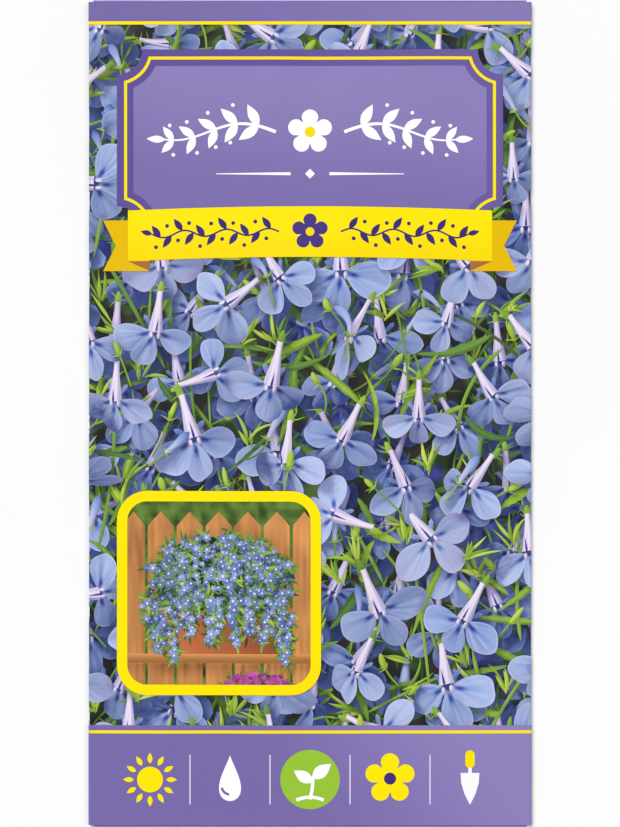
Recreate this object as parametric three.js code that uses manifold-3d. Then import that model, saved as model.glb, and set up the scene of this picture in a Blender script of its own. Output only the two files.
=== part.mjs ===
// A flat paper seed packet, lying on its back and filled.
//
// The packet is one sheet of coated paper. It is folded into a tube with a glued side seam, and a flap at
// each end is folded round onto the back and glued down. Inside lies a small sachet of two films, sealed
// round their rims, and the sachet holds a pinch of fine seed. The front panel swells softly over it.
//
// Millimetres. X runs across the packet, Y up its height, Z up from the table. The origin is the middle of
// the plane that the packet lies on.

import * as THREE from "three";
import { mergeVertices } from "three/addons/utils/BufferGeometryUtils.js";
import Module from "manifold-3d";

const wasm = await Module();
wasm.setup();

// Driving dimensions.
const WIDTH = 80;
const HEIGHT = 150;
const PAPER = 0.15; // thickness of the paper
const GLUE = 0.05; // thickness of a line of glue
const SIDE_FLAP = 10; // width of the glued side seam
const BOTTOM_FLAP = 12;
const TOP_FLAP = 16;
const FLAP_INSET = 0.7; // how far the end flaps stop short of the side folds
const FLAP_TAPER = 3.2; // how much narrower each end flap is at its free edge, on each side
const EDGE_GAP = 0.3; // how far a loose paper edge stops short of the fold beside it
const PILLOW_RISE = 1.0; // how far the whole front panel swells
const SACHET_RISE = 0.95; // how much further it swells over the sachet

const SACHET_WIDTH = 50;
const SACHET_HEIGHT = 70;
const SACHET_CENTRE = new THREE.Vector2(-4, -12);
const SACHET_RIM = 6; // width of the sealed rim
const FILM = 0.12; // thickness of each film
const SACHET_CROWN = 0.95; // how far the front film bulges above its rim
const SACHET_LIFT = 0.1; // clearance between the sachet and the back panel

const HEAP_RADIUS = 5.5;
const HEAP_HEIGHT = 0.42;
const HEAP_CENTRE = new THREE.Vector2(-4, -20);
const SEED = new THREE.Vector3(0.36, 0.25, 0.22); // half length, half width and half height of a seed
const SEED_COUNT = 90;

// The layers of the folded sheet, from the table up. Each is the height of that layer's lower face.
const FLAP_Z = 0;
const BACK_Z = FLAP_Z + PAPER + GLUE;
const SEAM_Z = BACK_Z + PAPER + GLUE;
const FRONT_Z = SEAM_Z + PAPER + GLUE;
const EDGE_Z = FRONT_Z + PAPER;

// How finely the curved sheets are divided.
const FRONT_COLUMNS = 18;
const FRONT_ROWS = 26;
const FOLD_STEPS = 6;
const FILM_COLUMNS = 12;
const FILM_ROWS = 14;

// ---------------------------------------------------------------- shared shapes

// A closed slab from a grid of points. point(i, j, side) gives the grid on the slab's two faces: the grid
// turns anticlockwise, seen from outside, on side 1.
function slab(columns, rows, point) {
  const positions = [];
  const faces = [];
  const index = (i, j, side) => (side * (rows + 1) + j) * (columns + 1) + i;
  const quad = (a, b, c, d) => faces.push(a, b, c, a, c, d);
  for (const side of [0, 1]) {
    for (let j = 0; j <= rows; j++) {
      for (let i = 0; i <= columns; i++) positions.push(...point(i, j, side));
    }
  }
  for (let j = 0; j < rows; j++) {
    for (let i = 0; i < columns; i++) {
      quad(index(i, j, 1), index(i + 1, j, 1), index(i + 1, j + 1, 1), index(i, j + 1, 1));
      quad(index(i, j + 1, 0), index(i + 1, j + 1, 0), index(i + 1, j, 0), index(i, j, 0));
    }
  }
  for (let i = 0; i < columns; i++) {
    quad(index(i, 0, 0), index(i + 1, 0, 0), index(i + 1, 0, 1), index(i, 0, 1));
    quad(index(i, rows, 1), index(i + 1, rows, 1), index(i + 1, rows, 0), index(i, rows, 0));
  }
  for (let j = 0; j < rows; j++) {
    quad(index(0, j, 1), index(0, j + 1, 1), index(0, j + 1, 0), index(0, j, 0));
    quad(index(columns, j, 0), index(columns, j + 1, 0), index(columns, j + 1, 1), index(columns, j, 1));
  }
  const geometry = new THREE.BufferGeometry();
  geometry.setAttribute("position", new THREE.Float32BufferAttribute(positions, 3));
  geometry.setIndex(faces);
  return geometry;
}

function boxBetween(low, high) {
  const size = new THREE.Vector3().subVectors(high, low);
  const middle = new THREE.Vector3().addVectors(low, high).multiplyScalar(0.5);
  return new THREE.BoxGeometry(size.x, size.y, size.z).translate(middle.x, middle.y, middle.z);
}

// A three.js geometry as a solid that can be joined to others.
function solid(geometry) {
  const bare = geometry.clone();
  bare.deleteAttribute("normal");
  bare.deleteAttribute("uv");
  const merged = mergeVertices(bare, 1e-5);
  const mesh = new wasm.Mesh({
    numProp: 3,
    vertProperties: new Float32Array(merged.attributes.position.array),
    triVerts: new Uint32Array(merged.index.array),
  });
  return new wasm.Manifold(mesh);
}

function joined(geometries) {
  const whole = geometries.map(solid).reduce((sum, next) => sum.add(next));
  const mesh = whole.getMesh();
  const geometry = new THREE.BufferGeometry();
  geometry.setAttribute("position", new THREE.BufferAttribute(mesh.vertProperties, 3));
  geometry.setIndex(new THREE.BufferAttribute(mesh.triVerts, 1));
  return geometry;
}

function namedMesh(name, geometry, look) {
  geometry.computeVertexNormals();
  const mesh = new THREE.Mesh(geometry, new THREE.MeshStandardMaterial(look));
  mesh.name = name;
  return mesh;
}

// 1 in the middle of a span and 0 at its ends and beyond, with a soft shoulder.
function bump(t, sharpness) {
  return Math.abs(t) >= 1 ? 0 : Math.pow(1 - Math.pow(Math.abs(t), sharpness), 2);
}

// ---------------------------------------------------------------- paper envelope

// How far the front panel stands above its flat edges.
function frontLift(x, y) {
  const margin = 1.5; // the folds beside it stay flat this far in
  const pillow = bump(x / (WIDTH / 2 - margin), 2.2) * bump(y / (HEIGHT / 2 - margin), 3.5);
  const overSachet =
    bump((x - SACHET_CENTRE.x) / (SACHET_WIDTH / 2 + 9), 2.6) *
    bump((y - SACHET_CENTRE.y) / (SACHET_HEIGHT / 2 + 14), 2.8);
  return PILLOW_RISE * pillow + SACHET_RISE * overSachet;
}

// The sheet's centreline round a fold: a half circle that opens towards -turn, from one height to another.
function foldPoints(centre, low, high, turn) {
  const radius = (high - low) / 2;
  const middle = (high + low) / 2;
  return Array.from({ length: FOLD_STEPS + 1 }, (_, k) => {
    const angle = Math.PI * (k / FOLD_STEPS - 0.5);
    return {
      along: centre + turn * radius * Math.cos(angle),
      z: middle + radius * Math.sin(angle),
      normal: [turn * Math.cos(angle), Math.sin(angle)],
    };
  });
}

// The tube's section, from the hidden edge of the side seam, round the right fold, across the front, round
// the left fold and across the back. Each point has the direction that faces out of the packet.
function tubeSection() {
  const half = PAPER / 2;
  const rightFold = WIDTH / 2 - (EDGE_Z - SEAM_Z) / 2;
  const leftFold = -WIDTH / 2 + (EDGE_Z - BACK_Z) / 2;
  const seam = [{ along: WIDTH / 2 - SIDE_FLAP, z: SEAM_Z + half, normal: [0, -1] }];
  const right = foldPoints(rightFold, SEAM_Z + half, FRONT_Z + half, 1);
  const front = Array.from({ length: FRONT_COLUMNS - 1 }, (_, k) => ({
    along: THREE.MathUtils.lerp(rightFold, leftFold, (k + 1) / FRONT_COLUMNS),
    z: FRONT_Z + half,
    normal: [0, 1],
    lifts: true,
  }));
  const left = foldPoints(leftFold, BACK_Z + half, FRONT_Z + half, -1).reverse();
  const back = [{ along: WIDTH / 2 - EDGE_GAP, z: BACK_Z + half, normal: [0, -1] }];
  return [...seam, ...right, ...front, ...left, ...back];
}

function tube() {
  const section = tubeSection();
  const end = HEIGHT / 2 - EDGE_Z / 2;
  return slab(FRONT_ROWS, section.length - 1, (j, i, side) => {
    const { along, z, normal, lifts } = section[i];
    const y = THREE.MathUtils.lerp(-end, end, j / FRONT_ROWS);
    const out = (side - 0.5) * PAPER;
    const lift = lifts ? frontLift(along, y) : 0;
    return [along + out * normal[0], y, z + out * normal[1] + lift];
  });
}

// An end flap: it leaves the front panel, turns round the end of the tube and lies against the back.
function endFlap(length, end) {
  const half = PAPER / 2;
  const fold = HEIGHT / 2 - EDGE_Z / 2;
  const section = [
    { along: fold - 1, z: FRONT_Z + half, normal: [0, 1] },
    ...foldPoints(fold, FLAP_Z + half, FRONT_Z + half, 1).reverse(),
    { along: HEIGHT / 2 - length, z: FLAP_Z + half, normal: [0, -1] },
  ];
  const root = WIDTH / 2 - FLAP_INSET;
  return slab(1, section.length - 1, (j, i, side) => {
    const { along, z, normal } = section[i];
    const out = (side - 0.5) * PAPER;
    const reach = i === section.length - 1 ? root - FLAP_TAPER : root;
    return [end * (2 * j - 1) * reach, end * (along + out * normal[0]), z + out * normal[1]];
  });
}

function glueLines() {
  const bite = 0.03; // how far the glue is sunk into the paper on both sides
  const seamInset = 1.5;
  const flapInset = 5.5;
  const flapMargin = 2;
  const line = (x, y, z) =>
    boxBetween(
      new THREE.Vector3(x[0], y[0], z - GLUE - bite),
      new THREE.Vector3(x[1], y[1], z + bite),
    );
  return [
    line(
      [WIDTH / 2 - SIDE_FLAP + seamInset, WIDTH / 2 - seamInset],
      [-HEIGHT / 2 + flapMargin, HEIGHT / 2 - flapMargin],
      SEAM_Z,
    ),
    line(
      [-WIDTH / 2 + flapInset, WIDTH / 2 - flapInset],
      [-HEIGHT / 2 + flapMargin, -HEIGHT / 2 + BOTTOM_FLAP - flapMargin],
      BACK_Z,
    ),
    line(
      [-WIDTH / 2 + flapInset, WIDTH / 2 - flapInset],
      [HEIGHT / 2 - TOP_FLAP + flapMargin, HEIGHT / 2 - flapMargin],
      BACK_Z,
    ),
  ];
}

function paperEnvelope() {
  const sheets = [tube(), endFlap(BOTTOM_FLAP, -1), endFlap(TOP_FLAP, 1)];
  return namedMesh("paper_envelope", joined([...sheets, ...glueLines()]), {
    color: 0x7b68ac,
    roughness: 0.35,
    metalness: 0,
  });
}

// ---------------------------------------------------------------- inner sachet

const SACHET_Z = BACK_Z + PAPER + SACHET_LIFT;

// How far the front film stands above its sealed rim.
function sachetCrown(x, y) {
  const u = x / (SACHET_WIDTH / 2 - SACHET_RIM);
  const v = y / (SACHET_HEIGHT / 2 - SACHET_RIM);
  return SACHET_CROWN * bump(u, 2.4) * bump(v, 3);
}

function film(name, columns, rows, low, crown) {
  const geometry = slab(columns, rows, (i, j, side) => {
    const x = SACHET_WIDTH * (i / columns - 0.5);
    const y = SACHET_HEIGHT * (j / rows - 0.5);
    return [SACHET_CENTRE.x + x, SACHET_CENTRE.y + y, low + side * FILM + crown(x, y)];
  });
  return namedMesh(name, geometry, { color: 0xe9ebe8, roughness: 0.45, metalness: 0 });
}

function sachet() {
  return [
    film("sachet_back_film", 1, 1, SACHET_Z, () => 0),
    film("sachet_front_film", FILM_COLUMNS, FILM_ROWS, SACHET_Z + FILM, sachetCrown),
  ];
}

// ---------------------------------------------------------------- seed

// A repeatable draw of numbers from 0 to 1.
function seededDraw(seed) {
  let state = seed;
  return () => {
    state = (state * 1664525 + 1013904223) % 4294967296;
    return state / 4294967296;
  };
}

// A low heap with seeds lying half sunk all over it.
function seedPinch() {
  const draw = seededDraw(7);
  const floor = SACHET_Z + FILM + 0.03;
  const heapHeight = (r) => HEAP_HEIGHT * Math.sqrt(Math.cos((Math.PI / 2) * (r / HEAP_RADIUS)));
  const rings = [0.35, 0.65, 0.85, 0.96];
  const profile = [
    new THREE.Vector2(0, 0),
    new THREE.Vector2(HEAP_RADIUS, 0),
    ...rings.reverse().map((s) => new THREE.Vector2(s * HEAP_RADIUS, heapHeight(s * HEAP_RADIUS))),
    new THREE.Vector2(0, HEAP_HEIGHT),
  ];
  const mound = new THREE.LatheGeometry(profile, 20).rotateX(Math.PI / 2);
  const goldenAngle = Math.PI * (3 - Math.sqrt(5));
  const seeds = Array.from({ length: SEED_COUNT }, (_, k) => {
    const r = HEAP_RADIUS * 0.92 * Math.sqrt((k + 0.5) / SEED_COUNT);
    const angle = k * goldenAngle + 0.3 * draw();
    const seed = new THREE.IcosahedronGeometry(1, 0).scale(SEED.x, SEED.y, SEED.z);
    seed.rotateY(0.5 * (draw() - 0.5)).rotateZ(2 * Math.PI * draw());
    const sunk = Math.max(heapHeight(r), SEED.z);
    return seed.translate(r * Math.cos(angle), r * Math.sin(angle), sunk);
  });
  const geometry = joined([mound, ...seeds]).translate(HEAP_CENTRE.x, HEAP_CENTRE.y, floor);
  return namedMesh("seed_pinch", geometry, { color: 0x6b4a2c, roughness: 0.7, metalness: 0 });
}

// ---------------------------------------------------------------- the packet

const packet = new THREE.Group();
packet.name = "seed_packet";
packet.add(paperEnvelope(), ...sachet(), seedPinch());

export default packet;
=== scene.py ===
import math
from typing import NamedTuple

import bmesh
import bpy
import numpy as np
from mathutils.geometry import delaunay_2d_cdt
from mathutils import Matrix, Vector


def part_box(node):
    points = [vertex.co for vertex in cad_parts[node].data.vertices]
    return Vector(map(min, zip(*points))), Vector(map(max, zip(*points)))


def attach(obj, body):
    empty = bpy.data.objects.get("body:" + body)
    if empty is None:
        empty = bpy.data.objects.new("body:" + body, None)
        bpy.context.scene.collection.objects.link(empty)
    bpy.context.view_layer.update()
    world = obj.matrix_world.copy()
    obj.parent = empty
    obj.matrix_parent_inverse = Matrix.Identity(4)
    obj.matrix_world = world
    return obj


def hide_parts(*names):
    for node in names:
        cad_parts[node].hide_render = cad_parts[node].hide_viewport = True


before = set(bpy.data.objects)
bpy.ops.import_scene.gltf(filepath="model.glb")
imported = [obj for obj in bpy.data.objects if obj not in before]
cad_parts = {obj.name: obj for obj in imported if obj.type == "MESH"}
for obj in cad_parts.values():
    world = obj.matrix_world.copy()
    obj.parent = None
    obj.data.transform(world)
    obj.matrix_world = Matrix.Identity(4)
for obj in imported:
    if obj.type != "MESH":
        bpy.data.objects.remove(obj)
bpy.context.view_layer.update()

# A printed paper seed packet, lying on its back. A finer sheet with soft wrinkles replaces the CAD envelope.
# The print is drawn in code as thin ink meshes that follow the paper: a field of blue trailing flowers with a
# violet plaque, a yellow ribbon, a small framed picture and a violet foot. The back has a plainer print.
#
# Lengths are in millimetres until a mesh or a material is made. X runs across the packet, Y up its height and
# Z out of it.

MM = 0.001

# ---- sizes

low, high = (np.array(corner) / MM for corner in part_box("paper_envelope"))
HALF_WIDTH, HALF_HEIGHT = high[:2]
PAPER = 0.15
GLUE = 0.05
SIDE_FLAP = 10
BOTTOM_FLAP = 12
TOP_FLAP = 16
FLAP_INSET = 0.7
FLAP_TAPER = 3.2
PILLOW_RISE = 1.0
SACHET_RISE = 0.95

low, high = (np.array(corner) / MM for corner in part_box("sachet_front_film"))
SACHET_CENTRE = (low + high)[:2] / 2
SACHET_HALF = (high - low)[:2] / 2

# The layers of the sheet above the table, and its folds.
BACK_Z = PAPER + GLUE
SEAM_Z = BACK_Z + PAPER + GLUE
FRONT_Z = SEAM_Z + PAPER + GLUE
EDGE_Z = FRONT_Z + PAPER
RIGHT_RADIUS = (EDGE_Z - SEAM_Z) / 2  # outside radius of each fold
LEFT_RADIUS = (EDGE_Z - BACK_Z) / 2
RIGHT_FOLD = HALF_WIDTH - RIGHT_RADIUS
LEFT_FOLD = -HALF_WIDTH + LEFT_RADIUS
END_FOLD = HALF_HEIGHT - EDGE_Z / 2
WRAP_LEFT = LEFT_FOLD - LEFT_RADIUS * math.pi / 2  # how far the print runs round each side fold, laid flat
WRAP_RIGHT = RIGHT_FOLD + RIGHT_RADIUS * math.pi / 2

# Each print's lowest and highest ink above the paper.
FIELD_HEIGHTS = (0.03, 0.2)
INK_HEIGHTS = {
    "print_backdrop": (0.02, 0.02),
    "print_near_flowers": FIELD_HEIGHTS,
    "print_middle_flowers": FIELD_HEIGHTS,
    "print_far_flowers": FIELD_HEIGHTS,
    "print_leaves": FIELD_HEIGHTS,
    "print_header": (0.21, 0.23),
    "print_ribbon": (0.24, 0.265),
    "print_foot": (0.21, 0.23),
    "print_picture_ground": (0.21, 0.217),
    "print_picture_box": (0.221, 0.236),
    "print_picture_flowers": (0.238, 0.27),
    "print_picture_leaves": (0.238, 0.27),
    "print_picture_border": (0.278, 0.278),
    "print_back": (0.02, 0.06),
}
INK_STEP = 0.8  # the most that two neighbouring points of a print lie apart, so that it follows the paper
FINE_STEP = 0.6  # the same in shapes with fine curves or grain
WIDE_STEP = 3  # the same in shapes so small that only their outlines count

# ---- shared tools


def smooth(low, high, t):
    """A soft step from 0 at low to 1 at high."""
    s = np.clip((np.asarray(t, float) - low) / (high - low), 0, 1)
    return s * s * (3 - 2 * s)


def bump(t, sharpness):
    """1 in the middle of a span and 0 at its ends and beyond, with a soft shoulder."""
    return np.maximum(1 - np.minimum(np.abs(t), 1) ** sharpness, 0) ** 2


def turned(points, angle):
    """Points turned about Z, anticlockwise, angle in radians."""
    c, s = math.cos(angle), math.sin(angle)
    return points @ np.array([[c, s, 0], [-s, c, 0], [0, 0, 1]])


def tilted(points, pitch, roll):
    """Points turned about X by pitch and then about Y by roll, in radians."""
    c, s = math.cos(pitch), math.sin(pitch)
    points = points @ np.array([[1, 0, 0], [0, c, s], [0, -s, c]])
    c, s = math.cos(roll), math.sin(roll)
    return points @ np.array([[c, 0, -s], [0, 1, 0], [s, 0, c]])


def polar(centre, reach, angle):
    """Flat places at a reach and an angle in radians from a centre."""
    return np.stack([centre[0] + reach * np.cos(angle), centre[1] + reach * np.sin(angle)], -1)


def surface(x, y, z):
    """A grid of points, of the shape (rows, columns, 3), from coordinates that broadcast together."""
    return np.dstack(np.broadcast_arrays(x, y, z))


def at_depth(places, z):
    """Flat places with a depth added."""
    return np.concatenate([places, np.full((*places.shape[:-1], 1), float(z))], -1)


def grid_quads(rows, columns, start=0):
    """Faces of a grid of points numbered row by row."""
    corner = (np.arange(rows - 1)[:, None] * columns + np.arange(columns - 1)).ravel() + start
    return np.stack([corner, corner + 1, corner + columns + 1, corner + columns], 1)


def linear(colour):
    """An sRGB colour in 0 to 255 as a scene-linear one."""
    c = np.array(colour) / 255
    return tuple(np.where(c <= 0.04045, c / 12.92, ((c + 0.055) / 1.055) ** 2.4))


class Waves:
    """Soft noise of about unit height: a sum of sines in random directions."""

    def __init__(self, seed, shortest, longest, count=14):
        rng = np.random.default_rng(seed)
        angle = rng.uniform(0, math.tau, count)
        pace = math.tau / rng.uniform(shortest, longest, count)
        self.kx, self.ky = pace * np.cos(angle), pace * np.sin(angle)
        self.phase = rng.uniform(0, math.tau, count)

    def __call__(self, x, y):
        x, y = np.asarray(x, float)[..., None], np.asarray(y, float)[..., None]
        waves = np.sin(self.kx * x + self.ky * y + self.phase)
        return waves.sum(-1) / math.sqrt(len(self.phase) / 2)


def new_mesh(name, points, faces, materials):
    mesh = bpy.data.meshes.new(name)
    mesh.from_pydata(points.tolist(), [], faces)
    for material in materials:
        mesh.materials.append(material)
    mesh.shade_smooth()
    return mesh


def linked(name, data):
    """A new object in the scene."""
    thing = bpy.data.objects.new(name, data)
    bpy.context.scene.collection.objects.link(thing)
    return thing


def packet_piece(name, mesh):
    """An object that rides on the packet's one body."""
    piece = linked(name, mesh)
    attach(piece, "root")
    return piece


# ---- shape of the paper

SOFT_WAVES = Waves(3, 14, 45)
FINE_WAVES = Waves(4, 8, 16)

# Soft creases in the front panel: where each starts and ends, and its height.
CREASES = [
    ((-38, 72), (-16, 40), 0.12),
    ((38, 73), (20, 52), 0.1),
    ((-38, -71), (-20, -50), 0.12),
    ((38, -72), (17, -44), 0.14),
    ((36, 8), (18, 2), 0.09),
    ((-37, 30), (-24, 22), 0.09),
]
CREASE_WIDTH = 2.6
FLAT_MARGIN = 1.5  # the front panel is flat along its edges
WRINKLED_MARGIN = np.array((9, 10))  # from there inwards, the wrinkles have their full height
SACHET_MARGIN = np.array((9, 14))  # how far round the sachet the paper is lifted


def crease_lift(x, y):
    lift = np.zeros_like(x)
    for (x0, y0), (x1, y1), height in CREASES:
        length = math.hypot(x1 - x0, y1 - y0)
        ux, uy = (x1 - x0) / length, (y1 - y0) / length
        along = ((x - x0) * ux + (y - y0) * uy) / length
        across = (y - y0) * ux - (x - x0) * uy
        across = across + 0.8 * np.sin(3 * along)
        fade = smooth(0, 0.15, along) * smooth(1, 0.55, along)
        lift += height * fade * (np.exp(-((across / CREASE_WIDTH) ** 2)) - 0.4 * smooth(4, 0, np.abs(across)))
    return lift


def sachet_print_through(x, y):
    """The edge of the sachet inside, felt through the paper."""
    u = np.abs(x - SACHET_CENTRE[0]) - SACHET_HALF[0]
    v = np.abs(y - SACHET_CENTRE[1]) - SACHET_HALF[1]
    return 0.09 * smooth(1.2, -1.2, np.maximum(u, v))


def front_lift(x, y):
    """How far the front panel stands above its flat edges."""
    x, y = np.asarray(x, float), np.asarray(y, float)
    flat_x, flat_y = np.array((HALF_WIDTH, HALF_HEIGHT)) - FLAT_MARGIN
    full_x, full_y = np.array((HALF_WIDTH, HALF_HEIGHT)) - WRINKLED_MARGIN
    reach_x, reach_y = SACHET_HALF + SACHET_MARGIN
    pillow = bump(x / flat_x, 2.2) * bump(y / flat_y, 3.5)
    over_sachet = bump((x - SACHET_CENTRE[0]) / reach_x, 2.6) * bump((y - SACHET_CENTRE[1]) / reach_y, 2.8)
    inside = smooth(flat_x, full_x, np.abs(x)) * smooth(flat_y, full_y, np.abs(y))
    wrinkles = 0.1 * SOFT_WAVES(x, y) + 0.016 * FINE_WAVES(x, y) + crease_lift(x, y)
    return PILLOW_RISE * pillow + SACHET_RISE * over_sachet + inside * (wrinkles + sachet_print_through(x, y))


def on_front(points, height):
    """Flat places laid on the front panel and round its side folds, at that height above the paper."""
    x, y = points[:, 0], points[:, 1]
    right = np.clip((x - RIGHT_FOLD) / RIGHT_RADIUS, 0, None)
    left = np.clip((LEFT_FOLD - x) / LEFT_RADIUS, 0, None)
    flat_x = np.clip(x, LEFT_FOLD, RIGHT_FOLD)
    flat_z = EDGE_Z + front_lift(flat_x, y) + height
    fall = (RIGHT_RADIUS + height) * (1 - np.cos(right)) + (LEFT_RADIUS + height) * (1 - np.cos(left))
    reach = (RIGHT_RADIUS + height) * np.sin(right) - (LEFT_RADIUS + height) * np.sin(left)
    return np.stack([flat_x + reach, y, flat_z - fall], 1)


def on_back(points, height):
    """Flat places on the back panel, which faces the table. x is still the packet's own."""
    return np.stack([points[:, 0], points[:, 1], BACK_Z - height], 1)


# ---- drawings

FLATTEN = 0.2  # the share of its own depth that a shape keeps when a drawing's level is set


class Drawing:
    """Ink shapes as one mesh. Each point has a place (x, y), a depth z that shades and orders the shapes, a
    hue (its place along the palette, or a plain ink's name) and a tone (0 in shade, 1 in full light). While
    level is set, shapes are ordered as if flattened towards that depth, so that neighbours don't cut through
    each other."""

    def __init__(self):
        self.points, self.orders, self.inks = [], [], []
        self.faces = {4: [], 3: []}  # by their number of corners
        self.count = 0
        self.level = None

    def add(self, points, hue, tone, faces):
        """Points of the shape (..., 3), with one hue and tone for all or one for each."""
        hue = plain(hue) if isinstance(hue, str) else hue
        inks = [np.broadcast_to(ink, points.shape[:-1]).ravel() for ink in (hue, tone)]
        points = points.reshape(-1, 3)
        z = points[:, 2]
        self.orders.append(z if self.level is None else self.level + FLATTEN * (z - self.level))
        self.points.append(points)
        self.inks.append(np.stack(inks, 1))
        self.faces[faces.shape[1]].append(faces + self.count)
        self.count += len(points)

    def grid(self, points, hue, tone):
        """points has the shape (rows, columns, 3)."""
        self.add(points, hue, tone, grid_quads(*points.shape[:2]))

    def flat(self, outline, hue, tone, z, spacing=INK_STEP):
        """A filled outline."""
        self.merged([outline], hue, tone, z, spacing)

    def merged(self, outlines, hue, tone, z, spacing=INK_STEP):
        """The area of some outlines that may overlap, with points inside it so that it can follow the paper.
        tone may be a function of the place."""
        closed = [np.vstack([outline, outline[:1]]).astype(float) for outline in outlines]
        places, triangles = filled([spaced(loop, spacing)[:-1] for loop in closed], spacing)
        self.add(at_depth(places, z), hue, tone(*places.T) if callable(tone) else tone, triangles)

    def band(self, outer, inner, hue, tone, z):
        """A closed band between two outlines with the same number of points."""
        both = np.hstack([outer, inner])
        both = spaced(np.vstack([both, both[:1]]), INK_STEP)
        self.grid(at_depth(np.stack([both[:, :2], both[:, 2:]]), z), hue, tone)

    def stroke(self, path, width, hue, tone, z):
        """A line of that width, or widths, along a path."""
        path = spaced(np.column_stack([path, np.broadcast_to(width, len(path))]), INK_STEP)
        side = sideways(path) * path[:, 2:] / 2
        self.grid(at_depth(np.stack([path[:, :2] - side, path[:, :2] + side]), z), hue, tone)

    def gathered(self):
        points = np.vstack(self.points)
        groups = [facing_up(points, np.vstack(faces)) for faces in self.faces.values() if faces]
        return points, np.concatenate(self.orders), np.vstack(self.inks), groups


def face_normals(points, faces):
    return np.cross(points[faces[:, 2]] - points[faces[:, 0]], points[faces[:, -1]] - points[faces[:, 1]])


def facing_up(points, faces):
    """The faces, with those that face down turned over."""
    return np.where(face_normals(points, faces)[:, 2:] < 0, faces[:, ::-1], faces)


def spaced(path, step):
    """The same path, with points added wherever two lie further apart than step in the plane."""
    runs = np.linalg.norm(np.diff(path[:, :2], axis=0), axis=1)
    counts = np.maximum(np.ceil(runs / step), 1).astype(int)
    stretches = [a + (b - a) * np.arange(n)[:, None] / n for a, b, n in zip(path, path[1:], counts)]
    return np.vstack([*stretches, path[-1:]])


def sideways(path):
    """Unit vectors across a path, to its left."""
    run = np.gradient(path[:, :2], axis=0)
    run /= np.linalg.norm(run, axis=1)[:, None]
    return np.stack([-run[:, 1], run[:, 0]], 1)


def filled(outlines, spacing):
    """Points and triangles that fill the area of some outlines, with a lattice of points inside."""
    outlines = [outline if signed_area(outline) > 0 else outline[::-1] for outline in outlines]
    corners = np.vstack(outlines)
    xs = np.arange(corners[:, 0].min() + spacing / 2, corners[:, 0].max(), spacing)
    ys = np.arange(corners[:, 1].min() + spacing / 2, corners[:, 1].max(), spacing)
    lattice = [
        (x, y)
        for y in ys
        for x in xs
        if ((corners - (x, y)) ** 2).sum(1).min() > (spacing / 3) ** 2
        and any(is_inside(outline, x, y) for outline in outlines)
    ]
    starts = np.cumsum([0] + [len(outline) for outline in outlines])
    rings = [list(range(start, stop)) for start, stop in zip(starts, starts[1:])]
    points = [tuple(corner) for corner in corners] + lattice
    places, _, triangles, _, _, rings_of = delaunay_2d_cdt(points, [], rings, 1, 1e-5)
    kept = [triangle for triangle, ring in zip(triangles, rings_of) if ring]
    return np.array([tuple(place) for place in places]), np.array(kept)


def signed_area(outline):
    after = np.roll(outline, -1, axis=0)
    return (outline[:, 0] * after[:, 1] - after[:, 0] * outline[:, 1]).sum() / 2


def is_inside(outline, x, y):
    ax, ay = outline[:, 0], outline[:, 1]
    bx, by = np.roll(ax, -1), np.roll(ay, -1)
    crosses = (ay > y) != (by > y)
    with np.errstate(divide="ignore", invalid="ignore"):
        hits = crosses & (x < (bx - ax) * (y - ay) / (by - ay) + ax)
    return bool(hits.sum() % 2)


# ---- light in the printed picture

SUN = np.array([-0.42, 0.52, 0.74])
AMBIENT = 0.47
DIRECT = 0.62
HOLLOW_RADII = (0.7, 1.6, 3.2, 6.0)
HOLLOW_SLOPE = 1.1  # a rise this steep towards a side hides that side's light
HOLLOW_STRENGTH = 1.9
SHADOW_STRENGTH = 0.85
SHADOW_FAN = (-16, -5, 5, 16)  # degrees to each side of the sun
SHADOW_STEPS = (0.5, 0.8, 1.2, 1.7, 2.4, 3.3, 4.5)
RELIEF_CELL = 0.4
RELIEF_MARGIN = 8


class Relief:
    """The highest point of some drawings over each small cell, and the range of their depths."""

    def __init__(self, drawings):
        points = np.vstack([drawing.gathered()[0] for drawing in drawings])
        places, depths = points[:, :2], points[:, 2]
        self.range = depths.min(), depths.max()
        self.origin = places.min(0) - RELIEF_MARGIN
        size = np.ceil((places.max(0) + RELIEF_MARGIN - self.origin) / RELIEF_CELL).astype(int) + 1
        self.cells = np.full(size, self.range[0])
        np.maximum.at(self.cells, self.cell(places), depths)

    def cell(self, places):
        cell = np.rint((places - self.origin) / RELIEF_CELL).astype(int)
        return tuple(np.clip(cell, 0, np.array(self.cells.shape) - 1).T)

    def rise(self, points, reach, angle):
        """How far the shapes at that reach and angle from each point stand above it."""
        return self.cells[self.cell(polar(points.T, reach, angle))] - points[:, 2]


def vertex_normals(points, groups):
    normals = np.zeros_like(points)
    for faces in groups:
        flat = face_normals(points, faces)
        for corner in faces.T:
            np.add.at(normals, corner, flat)
    return normals / np.maximum(np.linalg.norm(normals, axis=1), 1e-9)[:, None]


def hollowness(points, relief):
    """From 0, in the open, to 1, deep between higher shapes."""
    total = np.zeros(len(points))
    directions = np.linspace(0, math.tau, 12, endpoint=False)
    for radius in HOLLOW_RADII:
        for angle in directions + radius:
            total += np.clip(relief.rise(points, radius, angle) / (HOLLOW_SLOPE * radius), 0, 1)
    return total / (len(HOLLOW_RADII) * len(directions))


def cast_shadow(points, relief):
    """From 0 to 1, how far a higher shape keeps the sun off."""
    total = np.zeros(len(points))
    climb = SUN[2] / math.hypot(SUN[0], SUN[1])
    for angle in math.atan2(SUN[1], SUN[0]) + np.radians(SHADOW_FAN):
        dark = np.zeros(len(points))
        for step in SHADOW_STEPS:
            dark = np.maximum(dark, smooth(0.1, 0.9, relief.rise(points, step, angle) - climb * step))
        total += dark / len(SHADOW_FAN)
    return total


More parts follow.
